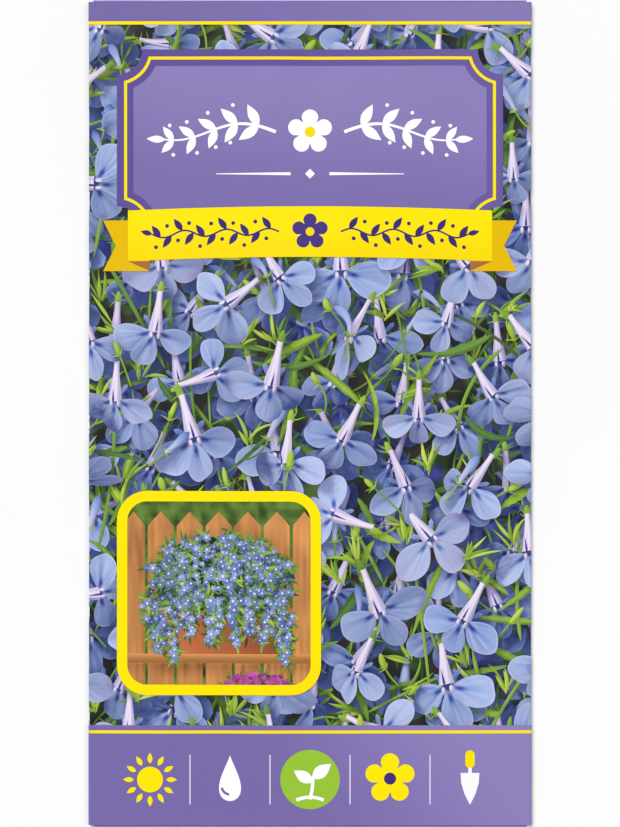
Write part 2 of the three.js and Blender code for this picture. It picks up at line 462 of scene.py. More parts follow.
def shaded(points, inks, groups, relief):
    """The inks with each tone multiplied by the light that the point gets."""
    facing = np.clip(vertex_normals(points, groups) @ SUN, 0, 1)
    open_sky = 1 - np.clip(HOLLOW_STRENGTH * hollowness(points, relief), 0, 1)
    sunlit = 1 - SHADOW_STRENGTH * cast_shadow(points, relief)
    light = AMBIENT * open_sky + DIRECT * facing * sunlit
    return np.column_stack([inks[:, 0], inks[:, 1] * light])


# ---- from drawing to print

INK_MAP = "OFBake"  # the UV map that holds each point's place in its ink's palette
PALETTE_EDGE = 0.02  # how much of that map stays free along each side, so that no place lies on its border


def clipped(mesh):
    """Cuts a flat mesh to the front panel, and along lines where it bends round the side folds. The ink map
    is carried along the cuts."""
    cuts = [(WRAP_LEFT, 0, (-1, 0, 0), True), (WRAP_RIGHT, 0, (1, 0, 0), True)]
    cuts += [(0, side * END_FOLD, (0, side, 0), True) for side in (-1, 1)]
    bends = (*np.linspace(WRAP_LEFT, LEFT_FOLD, 4)[1:], *np.linspace(WRAP_RIGHT, RIGHT_FOLD, 3)[1:])
    cuts += [(x, 0, (1, 0, 0), False) for x in bends]
    work = bmesh.new()
    work.from_mesh(mesh)
    for x, y, outward, clears in cuts:
        everything = work.verts[:] + work.edges[:] + work.faces[:]
        bmesh.ops.bisect_plane(
            work, geom=everything, dist=1e-5, plane_co=(x, y, 0), plane_no=outward, clear_outer=clears
        )
    bmesh.ops.dissolve_degenerate(work, dist=1e-4, edges=work.edges[:])
    work.to_mesh(mesh)
    work.free()


def printed(name, drawing, ink, relief=None, clips=False, lay=on_front):
    """A drawing as a thin ink mesh on the paper, in the order of its depths. With a relief, it is shaded and
    stacked together with that relief's other drawings."""
    points, orders, inks, groups = drawing.gathered()
    if relief:
        inks = shaded(points, inks, groups, relief)
    inks = PALETTE_EDGE + (1 - 2 * PALETTE_EDGE) * np.clip(inks, 0, 1)
    points[:, 2] = orders
    mesh = new_mesh(name, points, [face for faces in groups for face in faces.tolist()], [ink])
    corners = np.empty(len(mesh.loops), int)
    mesh.loops.foreach_get("vertex_index", corners)
    mesh.uv_layers.new(name=INK_MAP).data.foreach_set("uv", inks[corners].ravel())
    if clips:
        clipped(mesh)
    flat = np.empty(len(mesh.vertices) * 3)
    mesh.vertices.foreach_get("co", flat)
    flat = flat.reshape(-1, 3)
    deepest, nearest = relief.range if relief else (orders.min(), orders.max())
    low, high = INK_HEIGHTS[name]
    heights = low + (high - low) * (flat[:, 2] - deepest) / max(nearest - deepest, 1e-9)
    mesh.vertices.foreach_set("co", (lay(flat, heights) * MM).ravel())
    if lay is on_back:
        mesh.flip_normals()
    mesh.update()
    packet_piece(name, mesh)


# ---- materials

# Colours are sRGB, from 0 to 255. A texture's scale is the number of its spots or bars in a metre.


class Paint:
    """A material in the making, with its nodes."""

    def __init__(self, name, roughness, specular=0.5):
        self.material = bpy.data.materials.new(name)
        self.material.use_nodes = True
        self.tree = self.material.node_tree
        self.shader = self.tree.nodes["Principled BSDF"]
        self.feed(self.shader, {"Roughness": roughness, "Specular IOR Level": specular})

    def feed(self, node, inputs):
        """Gives a node's inputs values, or links them to other nodes."""
        for key, value in inputs.items():
            if isinstance(value, bpy.types.Node):
                value = value.outputs[0]
            if isinstance(value, bpy.types.NodeSocket):
                self.tree.links.new(value, node.inputs[key])
            else:
                node.inputs[key].default_value = value

    def node(self, kind, inputs, **settings):
        node = self.tree.nodes.new("ShaderNode" + kind)
        for key, value in settings.items():
            setattr(node, key, value)
        self.feed(node, inputs)
        return node

    def place(self):
        return self.node("TexCoord", {}).outputs["Object"]

    def noise(self, place, scale):
        return self.node("TexNoise", {"Vector": place, "Scale": scale, "Detail": 3})

    def ramp(self, source, stops, steps=False):
        """A colour ramp of (position, sRGB colour) stops."""
        node = self.node("ValToRGB", {0: source})
        ramp = node.color_ramp
        ramp.interpolation = "CONSTANT" if steps else "LINEAR"
        while len(ramp.elements) < len(stops):
            ramp.elements.new(1)
        for element, (position, _) in zip(ramp.elements, stops):
            element.position = position
        for element, (_, colour) in zip(ramp.elements, stops):
            element.color = (*linear(colour), 1)
        return node

    def mixed(self, factor, first, second):
        return self.node("Mix", {0: factor, 6: first, 7: second}, data_type="RGBA").outputs[2]

    def finished(self, colour, height=None, strength=0, distance=0):
        """The material with its colour, and with bumps whose full height is distance."""
        self.feed(self.shader, {"Base Color": colour})
        if height:
            bumps = self.node("Bump", {"Height": height, "Strength": strength, "Distance": distance * MM})
            self.feed(self.shader, {"Normal": bumps})
        return self.material


def ink_material(name, palette, steps=False, specular=0.3):
    """Ink from a palette of (hue, colour in full light, colour in shade). The ink map says which."""
    paint = Paint(name, 0.38, specular)
    stretch = 1 / (1 - 2 * PALETTE_EDGE)
    shift = -PALETTE_EDGE * stretch
    ink_map = paint.node("UVMap", {}, uv_map=INK_MAP)
    whole = {"Vector": ink_map, "Location": (shift, shift, 0), "Scale": (stretch, stretch, 1)}
    hue, tone, _ = paint.node("SeparateXYZ", {0: paint.node("Mapping", whole)}).outputs
    light = paint.ramp(hue, [(position, colour) for position, colour, _ in palette], steps)
    shade = paint.ramp(hue, [(position, colour) for position, _, colour in palette], steps)
    return paint.finished(paint.mixed(tone, shade, light))


BLOOM_INK = ink_material(
    "bloom_ink",
    [
        (0.0, (250, 248, 255), (118, 116, 168)),
        (0.14, (228, 214, 238), (96, 80, 140)),
        (0.28, (194, 190, 230), (70, 68, 134)),
        (0.42, (184, 198, 236), (56, 72, 132)),
        (0.56, (150, 171, 223), (42, 60, 116)),
        (0.70, (106, 133, 202), (30, 44, 92)),
        (0.85, (76, 82, 180), (24, 24, 66)),
        (1.0, (54, 44, 136), (18, 12, 44)),
    ],
)
LEAF_INK = ink_material(
    "leaf_ink",
    [
        (0.0, (228, 238, 126), (100, 126, 26)),
        (0.2, (180, 209, 68), (56, 88, 18)),
        (0.45, (129, 172, 66), (32, 62, 26)),
        (0.7, (86, 131, 70), (18, 44, 32)),
        (0.85, (86, 94, 56), (26, 30, 22)),
        (1.0, (98, 80, 78), (34, 26, 34)),
    ],
)
DEPTH_INK = ink_material(
    "depth_ink",
    [
        (0.0, (66, 54, 60), (24, 18, 26)),
        (0.3, (54, 66, 44), (18, 26, 18)),
        (0.55, (96, 128, 62), (30, 52, 24)),
        (0.75, (84, 96, 150), (28, 34, 78)),
        (1.0, (92, 104, 196), (32, 38, 110)),
    ],
)

# Plain inks. Each has its colour in full light and in shade.
PLAIN = {
    "violet": ((146, 132, 190), (92, 74, 146)),
    "yellow": ((255, 230, 0), (226, 178, 0)),
    "white": ((255, 255, 255), (196, 190, 220)),
    "deep_violet": ((72, 54, 128), (40, 24, 78)),
    "green": ((160, 204, 60), (104, 150, 30)),
    "clay": ((226, 132, 84), (112, 50, 30)),
    "wood": ((224, 156, 92), (96, 52, 26)),
    "leaf": ((122, 160, 70), (26, 46, 22)),
    "lilac": ((240, 236, 250), (208, 200, 230)),
    "magenta": ((206, 96, 176), (104, 30, 96)),
}
PLAIN_INK = ink_material(
    "plain_ink",
    [(k / len(PLAIN), *colours) for k, colours in enumerate(PLAIN.values())],
    steps=True,
    specular=0.15,
)


def plain(name):
    """The hue of a plain ink."""
    return (list(PLAIN).index(name) + 0.5) / len(PLAIN)


WORN_WIDTH, WORN_COLOUR = 0.12, (238, 236, 240)  # where ink is rubbed through along the side folds


def paper_material(name, dark, light, roughness, grain, worn=False):
    """Paper with soft mottling and fine grain. Where worn, its side folds show specks of bare paper."""
    paint = Paint(name, roughness)
    place = paint.place()
    colour = paint.ramp(paint.noise(place, 90), [(0.3, dark), (0.7, light)])
    if worn:
        x = paint.node("SeparateXYZ", {0: place})
        reach = paint.node("Math", {0: x}, operation="ABSOLUTE")
        fold = {"Value": reach, "From Min": (HALF_WIDTH - WORN_WIDTH) * MM, "From Max": HALF_WIDTH * MM}
        specks = paint.ramp(paint.noise(place, 500), [(0.45, (0, 0, 0)), (0.62, (255, 255, 255))])
        rubbed = paint.node("Math", {0: paint.node("MapRange", fold), 1: specks}, operation="MULTIPLY")
        colour = paint.mixed(rubbed, colour, (*linear(WORN_COLOUR), 1))
    return paint.finished(colour, paint.noise(place, 2600), grain, 0.04)


FRONT_PAPER = paper_material("front_paper", (112, 95, 162), (122, 104, 172), 0.38, 0.1, worn=True)
BACK_PAPER = paper_material("back_paper", (232, 228, 243), (240, 237, 249), 0.42, 0.15, worn=True)
BARE_PAPER = paper_material("bare_paper", (236, 234, 230), (246, 245, 241), 0.8, 0.5)


def film_material():
    """Pale glassine with the fine crimped bars of its heat seal."""
    paint = Paint("sachet_film", 0.4)
    place = paint.place()
    colour = paint.ramp(paint.noise(place, 160), [(0.3, (222, 226, 222)), (0.7, (238, 240, 236))])
    bars = paint.node("TexWave", {"Vector": place, "Scale": 300}, bands_direction="DIAGONAL")
    return paint.finished(colour, bars.outputs[1], 0.25, 0.1)


def seed_material():
    paint = Paint("seed_coat", 0.6)
    place = paint.place()
    stops = [(0.3, (66, 40, 22)), (0.5, (112, 72, 40)), (0.7, (150, 104, 62))]
    return paint.finished(paint.ramp(paint.noise(place, 1500), stops), paint.noise(place, 9000), 0.6, 0.05)


def floor_material():
    paint = Paint("floor", 0.7, 0.2)
    stops = [(0.3, (246, 246, 246)), (0.7, (250, 250, 250))]
    return paint.finished(paint.ramp(paint.noise(paint.place(), 6), stops))


def repaint(node, material):
    """Gives a CAD node its material."""
    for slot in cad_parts[node].material_slots:
        slot.material = material


# ---- paths and blades


def curve(start, heading, bend, length, count, fall):
    """A path in space that turns by bend on its way and falls by fall."""
    t = np.linspace(0, 1, count)
    angle = heading + bend * (t[1:] + t[:-1]) / 2
    steps = np.stack([np.cos(angle), np.sin(angle), np.full(count - 1, fall / length)], 1)
    return np.array(start) + np.vstack([[0, 0, 0], np.cumsum(steps * length / (count - 1), 0)])


def strip(path, half_width, across, rise):
    """A grid along a path and across it, which rises by shares of its half width."""
    points = np.repeat(path[:, None, :], len(across), 1)
    points[..., :2] += sideways(path)[:, None, :] * (across[None, :, None] * half_width[:, None, None])
    points[..., 2] += rise * half_width[:, None]
    return points


def blade(drawing, path, half_width, hue, tone, columns=5, keel=0.5, midrib=0.0):
    """A leaf or stalk along a path, which bulges by keel and may have a paler midrib."""
    path = spaced(np.column_stack([path, half_width]), INK_STEP)
    across = np.linspace(-1, 1, columns)
    points = strip(path[:, :3], path[:, 3], across, keel * (1 - across**2))
    drawing.grid(points, hue - np.where(np.abs(across) < 0.1, midrib, 0), tone)


def plump(drawing, path, half_width, hue, ribs):
    """A rounded body along a path, with ribs of another hue."""
    across = np.linspace(-1, 1, 9)
    points = strip(path, half_width, across, np.sqrt(1.01 - across**2))
    hue = np.broadcast_to(hue, len(path))[:, None] + ribs * np.cos(4 * math.pi * across)
    drawing.grid(points, hue, 1.05)


SPIKE = np.array([1, 0.9, 0.6, 0.1])  # how a calyx's spikes narrow


def stalk(drawing, start, heading, bend, length, fall, half_width, hue, columns=3):
    """A thin stalk, tapered at both ends."""
    t = np.linspace(0, 1, 13)
    path = curve(start, heading, bend, length, 13, fall)
    blade(drawing, path, half_width * np.minimum(0.15 + 12 * t * (1 - t), 1), hue, 0.95, columns)


def leaf(drawing, rng, start, heading):
    """A narrow leaf with a few shallow teeth."""
    length = rng.uniform(7, 16)
    t = np.linspace(0, 1, 13)
    width = rng.uniform(0.34, 0.85) * np.sin(math.pi * (0.04 + 0.95 * t**0.85)) ** 0.8 + 0.03
    width = width * (1 + 0.1 * np.where(np.arange(13) % 2, 1, -1))
    path = curve(start, heading, rng.normal(0, 0.6), length, 13, rng.uniform(-1.5, 1.5))
    hue, tone, keel = rng.uniform(0.3, 0.75), rng.uniform(0.75, 1.05), rng.uniform(-0.5, 0.7)
    blade(drawing, path, width, hue, tone, keel=keel, midrib=0.12)


def tuft(drawing, rng, start, heading):
    """A bundle of short, narrow young leaves."""
    columns = 5 if start[2] > GREEN_DEPTHS[1] else 3
    for _ in range(rng.integers(5, 10)):
        place = start + (rng.normal(0, 0.3), rng.normal(0, 0.5), rng.uniform(-0.8, 0.8))
        path = curve(place, heading + rng.normal(0, 0.45), rng.normal(0, 0.5), rng.uniform(2.6, 7), 7, 0.4)
        width = rng.uniform(0.22, 0.42) * np.array([0.2, 0.6, 0.95, 1, 0.8, 0.48, 0.05])
        blade(drawing, path, width, rng.uniform(0.06, 0.46), rng.uniform(0.8, 1.1), columns, 0.7)


def bud(drawing, rng, start, heading):
    """A plump ribbed bud with its spiky calyx."""
    t = np.linspace(0, 1, 7)
    path = curve(start, heading, rng.normal(0, 0.3), rng.uniform(2.4, 4.0), 7, 0.3)
    width = rng.uniform(0.45, 0.7) * np.sin(math.pi * (0.08 + 0.88 * t)) ** 0.6
    plump(drawing, path, width, rng.uniform(0.12, 0.3), 0.08)
    bud_calyx(drawing, rng, start + (0, 0, 0.4), heading)


def closed_bloom(blooms, greens, rng, start, heading):
    """A slender flower that hasn't opened, pale below and blue at its swollen tip, in its green calyx."""
    path = curve(start, heading, rng.normal(0, 0.5), rng.uniform(4.5, 7.5), 8, 0.5)
    width = rng.uniform(0.85, 1.15) * np.array([0.36, 0.42, 0.48, 0.56, 0.72, 0.86, 0.74, 0.16])
    plump(blooms, path, width, np.linspace(0.2, rng.uniform(0.6, 0.82), 8), 0.07)
    bud_calyx(greens, rng, start + (0, 0, 0.3), heading)


def bud_calyx(drawing, rng, start, heading):
    """The spikes and the stalk of a bud."""
    for angle in np.linspace(-1.2, 1.2, 5):
        path = curve(start, heading + angle + rng.normal(0, 0.2), 0.4, rng.uniform(1.1, 2.0), 4, 0.2)
        blade(drawing, path, 0.15 * SPIKE, rng.uniform(0.2, 0.45), 1.0, 3)
    bend, length, hue = rng.normal(0, 0.5), rng.uniform(4, 8), rng.uniform(0.3, 0.5)
    stalk(drawing, start, heading + math.pi, bend, length, -1.5, 0.17, hue)


# ---- flowers of the printed field

LOBE_RINGS = np.array([0.07, 0.13, 0.2, 0.27, 0.35, 0.45, 0.56, 0.67, 0.78, 0.87, 0.94, 0.97, 1.0])
PLAIN_RINGS = np.array([0.07, 0.3, 0.55, 0.8, 1.0])

# Direction, length, half spread and, for the lower ones, lift of each petal, in degrees and millimetres.
LOWER_LOBES = ((-22, 6.5, 44, 0.0), (-158, 6.5, 44, 0.25), (-90, 6.2, 37, 0.5))
UPPER_LOBES = ((50, 2.7, 19), (130, 2.7, 19))
LOBE_START = 0.35  # how far from the flower's middle the petals begin
TUBE_START = 0.15
TUBE_END = TUBE_START + 6.4
CALYX_DROP = 0.4  # how much deeper than its flower a calyx is drawn


class Layer(NamedTuple):
    """A layer of flowers. A depth is a range, and hue and tone are a mean and a spread."""

    apart: float
    depth: tuple
    hue: tuple
    tone: tuple
    size: float
    rings: np.ndarray  # of the lower petals
    spokes: int
    tube_shift: float  # how much further along the palette the tube lies
    stalk_depth: float  # None where a flower has no throat, calyx or stalk


LAYERS = {
    "near": Layer(10.5, (-1.5, 0.7), (0.49, 0.03), (0.99, 0.04), 1.08, LOBE_RINGS, 27, 0, -2.4),
    "middle": Layer(9.9, (-4.4, -3.2), (0.57, 0.04), (0.9, 0.05), 1.02, LOBE_RINGS, 17, 0.05, -5.2),
    "far": Layer(8.6, (-8.0, -6.6), (0.72, 0.06), (0.88, 0.07), 0.98, PLAIN_RINGS, 9, 0.28, None),
}


def lobe(length, spread, rings, spokes, blunt=0.42):
    """A petal along +X: x and y of its points, as rings round its claw, the rings' shares and the spokes'
    places from -1 to 1."""
    side = 0.985 * np.sin(np.linspace(-0.5, 0.5, spokes) * math.pi)
    reach = length * (np.cos(side * math.pi / 2) ** blunt + 0.02 * np.exp(-((side / 0.14) ** 2)))
    out = rings[:, None]
    angle = math.radians(spread) * side * (0.6 + 0.4 * smooth(0, 0.5, out))
    return out * reach * np.cos(angle), out * reach * np.sin(angle), out, side


class Flower:
    """Where one flower of the field stands, how it is turned, and its ink."""

    def __init__(self, rng, place, layer):
        self.rng = rng
        self.layer = layer
        self.place = (*place, rng.uniform(*layer.depth))
        self.turn = rng.normal(0, math.radians(24)) if rng.random() < 0.85 else rng.uniform(-2.2, 2.2)
        self.pitch = rng.normal(0.1, 0.2)
        self.roll = rng.normal(0, 0.2) + (rng.choice((-0.6, 0.6)) if rng.random() < 0.16 else 0)
        self.size = layer.size * rng.normal(1, 0.06)
        self.hue = rng.normal(*layer.hue)
        self.tone = rng.normal(*layer.tone)

    def pose(self, points):
        points = tilted(np.asarray(points) * self.size, self.pitch, self.roll)
        return turned(points, self.turn) + self.place

    def draw(self, blooms, greens):
        blooms.level = self.place[2]
        for direction, length, spread, lift in LOWER_LOBES:
            self.lower_lobe(blooms, direction + self.rng.normal(0, 6), length, spread, lift)
        for direction, length, spread in UPPER_LOBES:
            self.upper_lobe(blooms, direction + self.rng.normal(0, 8), length, spread)
        self.tube(blooms)
        if self.layer.stalk_depth is not None:
            self.throat(blooms)
            self.calyx(greens)

    def petal(self, blooms, x, y, z, direction, hue, tone):
        points = turned(surface(x + LOBE_START, y, z), math.radians(direction))
        blooms.grid(self.pose(points), hue, tone)

    def lower_lobe(self, blooms, direction, length, spread, lift):
        rng, layer = self.rng, self.layer
        own_length, own_spread = length * rng.normal(1, 0.05), spread * rng.normal(1, 0.06)
        x, y, out, side = lobe(own_length, own_spread, layer.rings, layer.spokes)
        ripple = 1 + 0.03 * (out**3 * np.sin(rng.uniform(4, 8) * side + rng.uniform(0, math.tau)))
        x, y = ripple * x, ripple * y
        ruffle = 0.24 * out**2 * np.sin(3.2 * side + rng.uniform(0, math.tau))
        z = lift + 0.3 * smooth(0, 0.25, out) - rng.uniform(0.2, 1.1) * (x / length) ** 2 + ruffle
        z += rng.uniform(-0.5, 0.7) * (y / length * 2) ** 2 + rng.normal(0.05, 0.14) * np.abs(y)
        z -= 0.14 * np.exp(-((y / 0.3) ** 2)) * smooth(0.15, 0.4, out) * smooth(1, 0.8, out)
        streaks = smooth(0.05, 0.4, out) * smooth(1.15, 0.6, out)
        veins, glints = rng.normal(0, 1, (2, 1, len(side))) * streaks
        patches = np.sin(1.3 * x + rng.uniform(0, math.tau)) * np.sin(1.7 * y + rng.uniform(0, math.tau))
        smudge = np.exp(-(((x - 1.5) / 0.78) ** 2) - (y / 0.36) ** 2)
        claw = np.exp(-(((x - 0.9) / 0.9) ** 2) - ((np.abs(y) - 0.6) / 0.3) ** 2)
        rim = smooth(0.94, 0.99, out)
        hue = self.hue + rng.normal(0, 0.014) + 0.046 * veins + 0.02 * patches + 0.42 * smudge
        hue = hue - 0.13 * claw - 0.11 * rim - 0.05 * smooth(0.4, 0.85, out)
        tone = self.tone * (1 - 0.1 * smudge + 0.08 * rim + 0.055 * glints + 0.03 * patches)
        droop = rng.uniform(0, 0.36)
        self.petal(blooms, x * math.cos(droop), y, z - x * math.sin(droop), direction, hue, tone)

    def upper_lobe(self, blooms, direction, length, spread):
        x, y, out, side = lobe(length, spread, PLAIN_RINGS, 7, blunt=0.5)
        z = 0.25 - 1.1 * (x / length) ** 2 - 0.3 * np.abs(side)
        hue = self.hue + 0.16 - 0.08 * smooth(0.8, 1, out)
        self.petal(blooms, x, y, z, direction, hue, 0.9 * self.tone)

    def tube(self, blooms):
        """The flower's tube, which runs upwards behind its upper petals, with fine dark lines."""
        across = np.linspace(-1, 1, 13)
        along = np.linspace(0, 1, 10)[:, None]
        width = 0.48 + 0.8 * smooth(0.95, -0.15, along) ** 1.2
        x = across * width + 0.5 * math.sin(self.turn) * along**2
        y = TUBE_START + (TUBE_END - TUBE_START) * along
        z = 0.9 * width * np.sqrt(1.02 - across**2) + 0.5 - 1.7 * along
        lines = np.maximum(np.cos(3 * math.pi * across), 0) ** 3
        hue = 0.08 + 0.15 * lines * smooth(1, 0.1, along) + 0.09 * across**2 + 0.04 * smooth(0.6, 0, along)
        tone = (1.16 - 0.26 * across**2 - 0.12 * smooth(0.6, 1, along)) * self.tone
        blooms.grid(self.pose(surface(x, y, z)), hue + self.layer.tube_shift, tone)

    def throat(self, blooms):
        """The dark ground between the petals, the slit along the tube and the two white bumps."""
        turn = np.linspace(0, math.tau, 13)
        reach = np.array([0.0, 0.95])[:, None]
        ground = surface(reach * np.cos(turn), reach * np.sin(turn) - 0.1, -0.3)
        blooms.grid(self.pose(ground), self.hue + 0.2, 0.8)
        y, width = np.array([(0.05, 0.26), (0.5, 0.4), (1.1, 0.3), (1.8, 0.16), (2.5, 0.04)]).T
        sides = np.array([-1, 1])[:, None]
        blooms.grid(self.pose(surface(sides * width / 2, y, 1.75)), 0.9, 0.75)
        rings = np.array([0.0, 0.55, 1.0])[:, None]
        for side in (-1, 1):
            x = side * (0.5 + 0.14 * rings) + 0.34 * rings * np.cos(turn)
            y = -0.5 - 0.1 * rings + 0.66 * rings * np.sin(turn)
            blooms.grid(self.pose(surface(x, y, 1.3 - 0.7 * rings**2)), 0.02 + 0.3 * rings**2, 1.15)

    def calyx(self, greens):
        """The cup at the tube's end, its spikes and the stalk."""
        rng, top = self.rng, TUBE_END
        greens.level = self.place[2] - CALYX_DROP
        cup = [(0, top - 0.5, -1.3), (0, top + 0.2, -1.3), (0, top + 1.0, -1.5), (0, top + 1.5, -1.7)]
        hue = rng.uniform(0.25, 0.55)
        blade(greens, self.pose(cup), np.array([0.44, 0.56, 0.4, 0.2]) * self.size, hue, 0.95)
        for angle in np.radians((-20, 50, 130, 200)):
            start = (*polar((0, top), 0.4, angle), -1.7)
            heading = angle + rng.normal(0, 0.3)
            path = curve(start, heading, rng.normal(0, 0.5), rng.uniform(1.0, 2.0), 4, -0.5)
            blade(greens, self.pose(path), 0.12 * SPIKE, hue, 0.95, 3)
        greens.level = None
        start = (*self.pose((0, top + 1.0, 0))[:2], self.layer.stalk_depth)
        bend, length, hue = rng.uniform(-1.6, 1.6), rng.uniform(7, 14), rng.uniform(0.35, 0.6)
        stalk(greens, start, self.turn + math.pi / 2, bend, length, -4.5, 0.2, hue)


# ---- layout of the front

BAND_BOTTOM = HALF_HEIGHT - 4.2  # of the plain band along the top edge
FOOT_TOP = -HALF_HEIGHT + 18.5
PLAQUE_CENTRE, PLAQUE_HALF = np.array((0, 49.5)), (35, 16.5)
RIBBON_CENTRE, RIBBON_HALF = np.array((0, 32.2)), (33, 4.6)
PICTURE_CENTRE, PICTURE_HALF, PICTURE_CORNER = np.array((-16.5, -32.5)), 18.5, 5.5
PICTURE_BORDER = 1.9
FLOWER_REACH = 7.5  # a flower centred further than this behind a panel doesn't show past it

FIELD_MARGIN = 4  # how far the field goes on past the packet's edges
FLOWER_TRIES, GREEN_TRIES = 3000, 7000
GREEN_APART = 3.3
GREEN_DEPTHS = (-2.6, -5.6, -8.6)  # between and behind the layers of flowers
GREEN_SHARES = (0.43, 0.34, 0.23)
FRONT_DEPTH = 1.8
KINDS = ("stem", "bud", "closed bloom", "tuft", "tuft", "leaf", "leaf", "leaf")
IN_FRONT = {"bud": 0.11, "closed bloom": 0.11, "tuft": 0.04}  # the share that stands before the flowers


def in_the_open(x, y):
    """True where a flower centred there can show past the panels."""
    panels = ((PLAQUE_CENTRE, PLAQUE_HALF), (PICTURE_CENTRE, PICTURE_HALF))
    past = min((np.abs((x, y) - centre) - half).max() for centre, half in panels)
    return past >= -FLOWER_REACH and FOOT_TOP - FLOWER_REACH <= y <= BAND_BOTTOM + FLOWER_REACH


def scattered(rng, apart, tries):
    """Random places in the field that lie at least that far apart."""
    places = []
    for _ in range(tries):
        x, y = (rng.uniform(-half - FIELD_MARGIN, half + FIELD_MARGIN) for half in (HALF_WIDTH, HALF_HEIGHT))
        if in_the_open(x, y) and all((x - a) ** 2 + (y - b) ** 2 > apart**2 for a, b in places):
            places.append((x, y))
    return places


def backdrop():
    """The soft dark ground behind the plants."""
    drawing = Drawing()
    x = np.linspace(-HALF_WIDTH - 2, HALF_WIDTH + 2, 121)
    y = np.linspace(-HALF_HEIGHT, HALF_HEIGHT, 201)[:, None]
    greens, blues, light = Waves(11, 4, 16), Waves(12, 5, 18), Waves(13, 3, 10)
    hue = 0.1 + 0.45 * smooth(0.1, 1.3, greens(x, y)) + 0.75 * smooth(0.6, 1.5, blues(x, y))
    drawing.grid(surface(x, y, -9.0), hue, 0.24 + 0.2 * light(x, y))
    return drawing


def flower_field():
    """A drawing for each layer of flowers, and one for all the green of the field."""
    rng = np.random.default_rng(21)
    blooms = {name: Drawing() for name in LAYERS}
    greens = Drawing()
    for name, layer in LAYERS.items():
        for place in scattered(rng, layer.apart, FLOWER_TRIES):
            Flower(rng, place, layer).draw(blooms[name], greens)
    for k, place in enumerate(scattered(rng, GREEN_APART, GREEN_TRIES)):
        kind = KINDS[k % len(KINDS)]
        heading = rng.normal(math.pi / 2, 0.6)
        z = rng.choice(GREEN_DEPTHS, p=GREEN_SHARES) + rng.uniform(-0.1, 0.1)
        if kind in IN_FRONT and rng.random() < IN_FRONT[kind]:
            z = FRONT_DEPTH
        start = np.array((*place, z))
        greens.level = blooms["middle"].level = z
        if kind == "stem":
            bend, length = rng.normal(0, 0.5), rng.uniform(14, 30)
            half_width, hue = rng.uniform(0.16, 0.36), 0.35 + 0.55 * rng.random() ** 3
            stalk(greens, start, heading, bend, length, 0.5, half_width, hue, 5)
        elif kind == "bud":
            bud(greens, rng, start, heading)
        elif kind == "closed bloom":
            closed_bloom(blooms["middle"], greens, rng, start, heading)
        elif kind == "tuft":
            tuft(greens, rng, start, heading)
        else:
            leaf(greens, rng, start, rng.uniform(0, math.tau))
    return blooms, greens


# ---- flat shapes

ARC_STEPS = 9


def arc(centre, radius, start, stop, steps):
    """Points along an arc. Angles in degrees."""
    return polar(centre, radius, np.radians(np.linspace(start, stop, steps)))


def circle(centre, radius, steps=40):
    return arc(centre, radius, 0, 360, steps + 1)[:-1]


def four_arcs(centre, half, radius, start, stop, steps):
    """An outline of arcs at the corners of a rectangle. start and stop are the angles of the first."""
    corners = ((1, 1, 0), (-1, 1, 90), (-1, -1, 180), (1, -1, 270))
    return np.vstack(
        [arc(centre + half * np.array((i, j)), radius, start + a, stop + a, steps) for i, j, a in corners]
    )


def rounded(centre, half, radius, inset=0, steps=ARC_STEPS):
    """A rectangle or square with round corners, drawn in all round by inset."""
    return four_arcs(centre, np.broadcast_to(half, 2) - radius, radius - inset, 0, 90, steps)


def scooped(centre, half, radius, inset):
    """A rectangle whose corners are cut by arcs that curve inwards, and then drawn in all round by inset."""
    radius += inset
    trim = math.degrees(math.asin(inset / radius))
    return four_arcs(centre, np.array(half), radius, -90 - trim, -180 + trim, ARC_STEPS)


def leaf_outline(base, heading, length, width, steps=9):
    t = np.linspace(0, 1, steps)
    side = width / 2 * np.sin(math.pi * t**0.85)
    shape = np.vstack([np.column_stack([t * length, side]), np.column_stack([t * length, -side])[-2:0:-1]])
    c, s = math.cos(heading), math.sin(heading)
    return shape @ np.array([[c, s], [-s, c]]) + base


def line_outline(path, width):
    """The outline of a line of that width, or widths, along a path."""
    side = sideways(path) * np.reshape(width, (-1, 1)) / 2
    return np.vstack([path + side, (path - side)[::-1]])


def across_packet(y, count=40):
    """A line across the packet at that height, from past one edge to past the other."""
    return np.linspace((-HALF_WIDTH - 1, y), (HALF_WIDTH + 1, y), count)


def full_band(low, high):
    return np.vstack([across_packet(low, 2), across_packet(high, 2)[::-1]])


def five_lobed(turn, waist, power):
    """The reach of a plain flower with five petals, which is waist between them and 1 at their tips."""
    return waist + (1 - waist) * np.abs(np.cos(2.5 * turn)) ** power


def rosette(drawing, centre, radius, petal, eye, z):
    """A plain five-petalled flower."""
    turn = np.linspace(0, math.tau, 60, endpoint=False)
    drawing.flat(polar(centre, radius * five_lobed(turn, 0.5, 0.55), turn + math.pi / 2), petal, 1, z)
    drawing.flat(circle(centre, 0.24 * radius, 20), eye, 0.7, z + 1)


def sprigs(drawing, centre, z):
    """Two curling white branches with paired leaves and berries, which run outwards from a centre."""
    start, reach = 6.2, 27
    t = np.linspace(0, 1, 28)
    out = start + (reach - start) * t
    for side in (-1, 1):
        path = np.column_stack([side * out, 1.5 * np.sin(1.7 * math.pi * t)]) + centre
        outlines = [line_outline(path, 0.62 - 0.36 * t)]
        tips = ([], [])
        for k in range(4, 28, 5):
            run = path[k + 1] - path[k]
            heading = math.atan2(run[1], run[0])
            size = 4.7 - 1.7 * t[k]
            for angle, row in zip((heading + 0.85, heading - 0.85), tips):
                outlines.append(leaf_outline(path[k], angle, size, 0.42 * size))
                row.append(polar(path[k], 1.08 * size, angle))
        for row in tips:
            outlines += [circle((a + b) / 2, 0.34, 12) for a, b in zip(row, row[1:])]
        outlines.append(leaf_outline(path[-2], heading, 3.4, 1.3))
        drawing.merged(outlines, "white", 1, z, FINE_STEP)


# ---- panels of the front


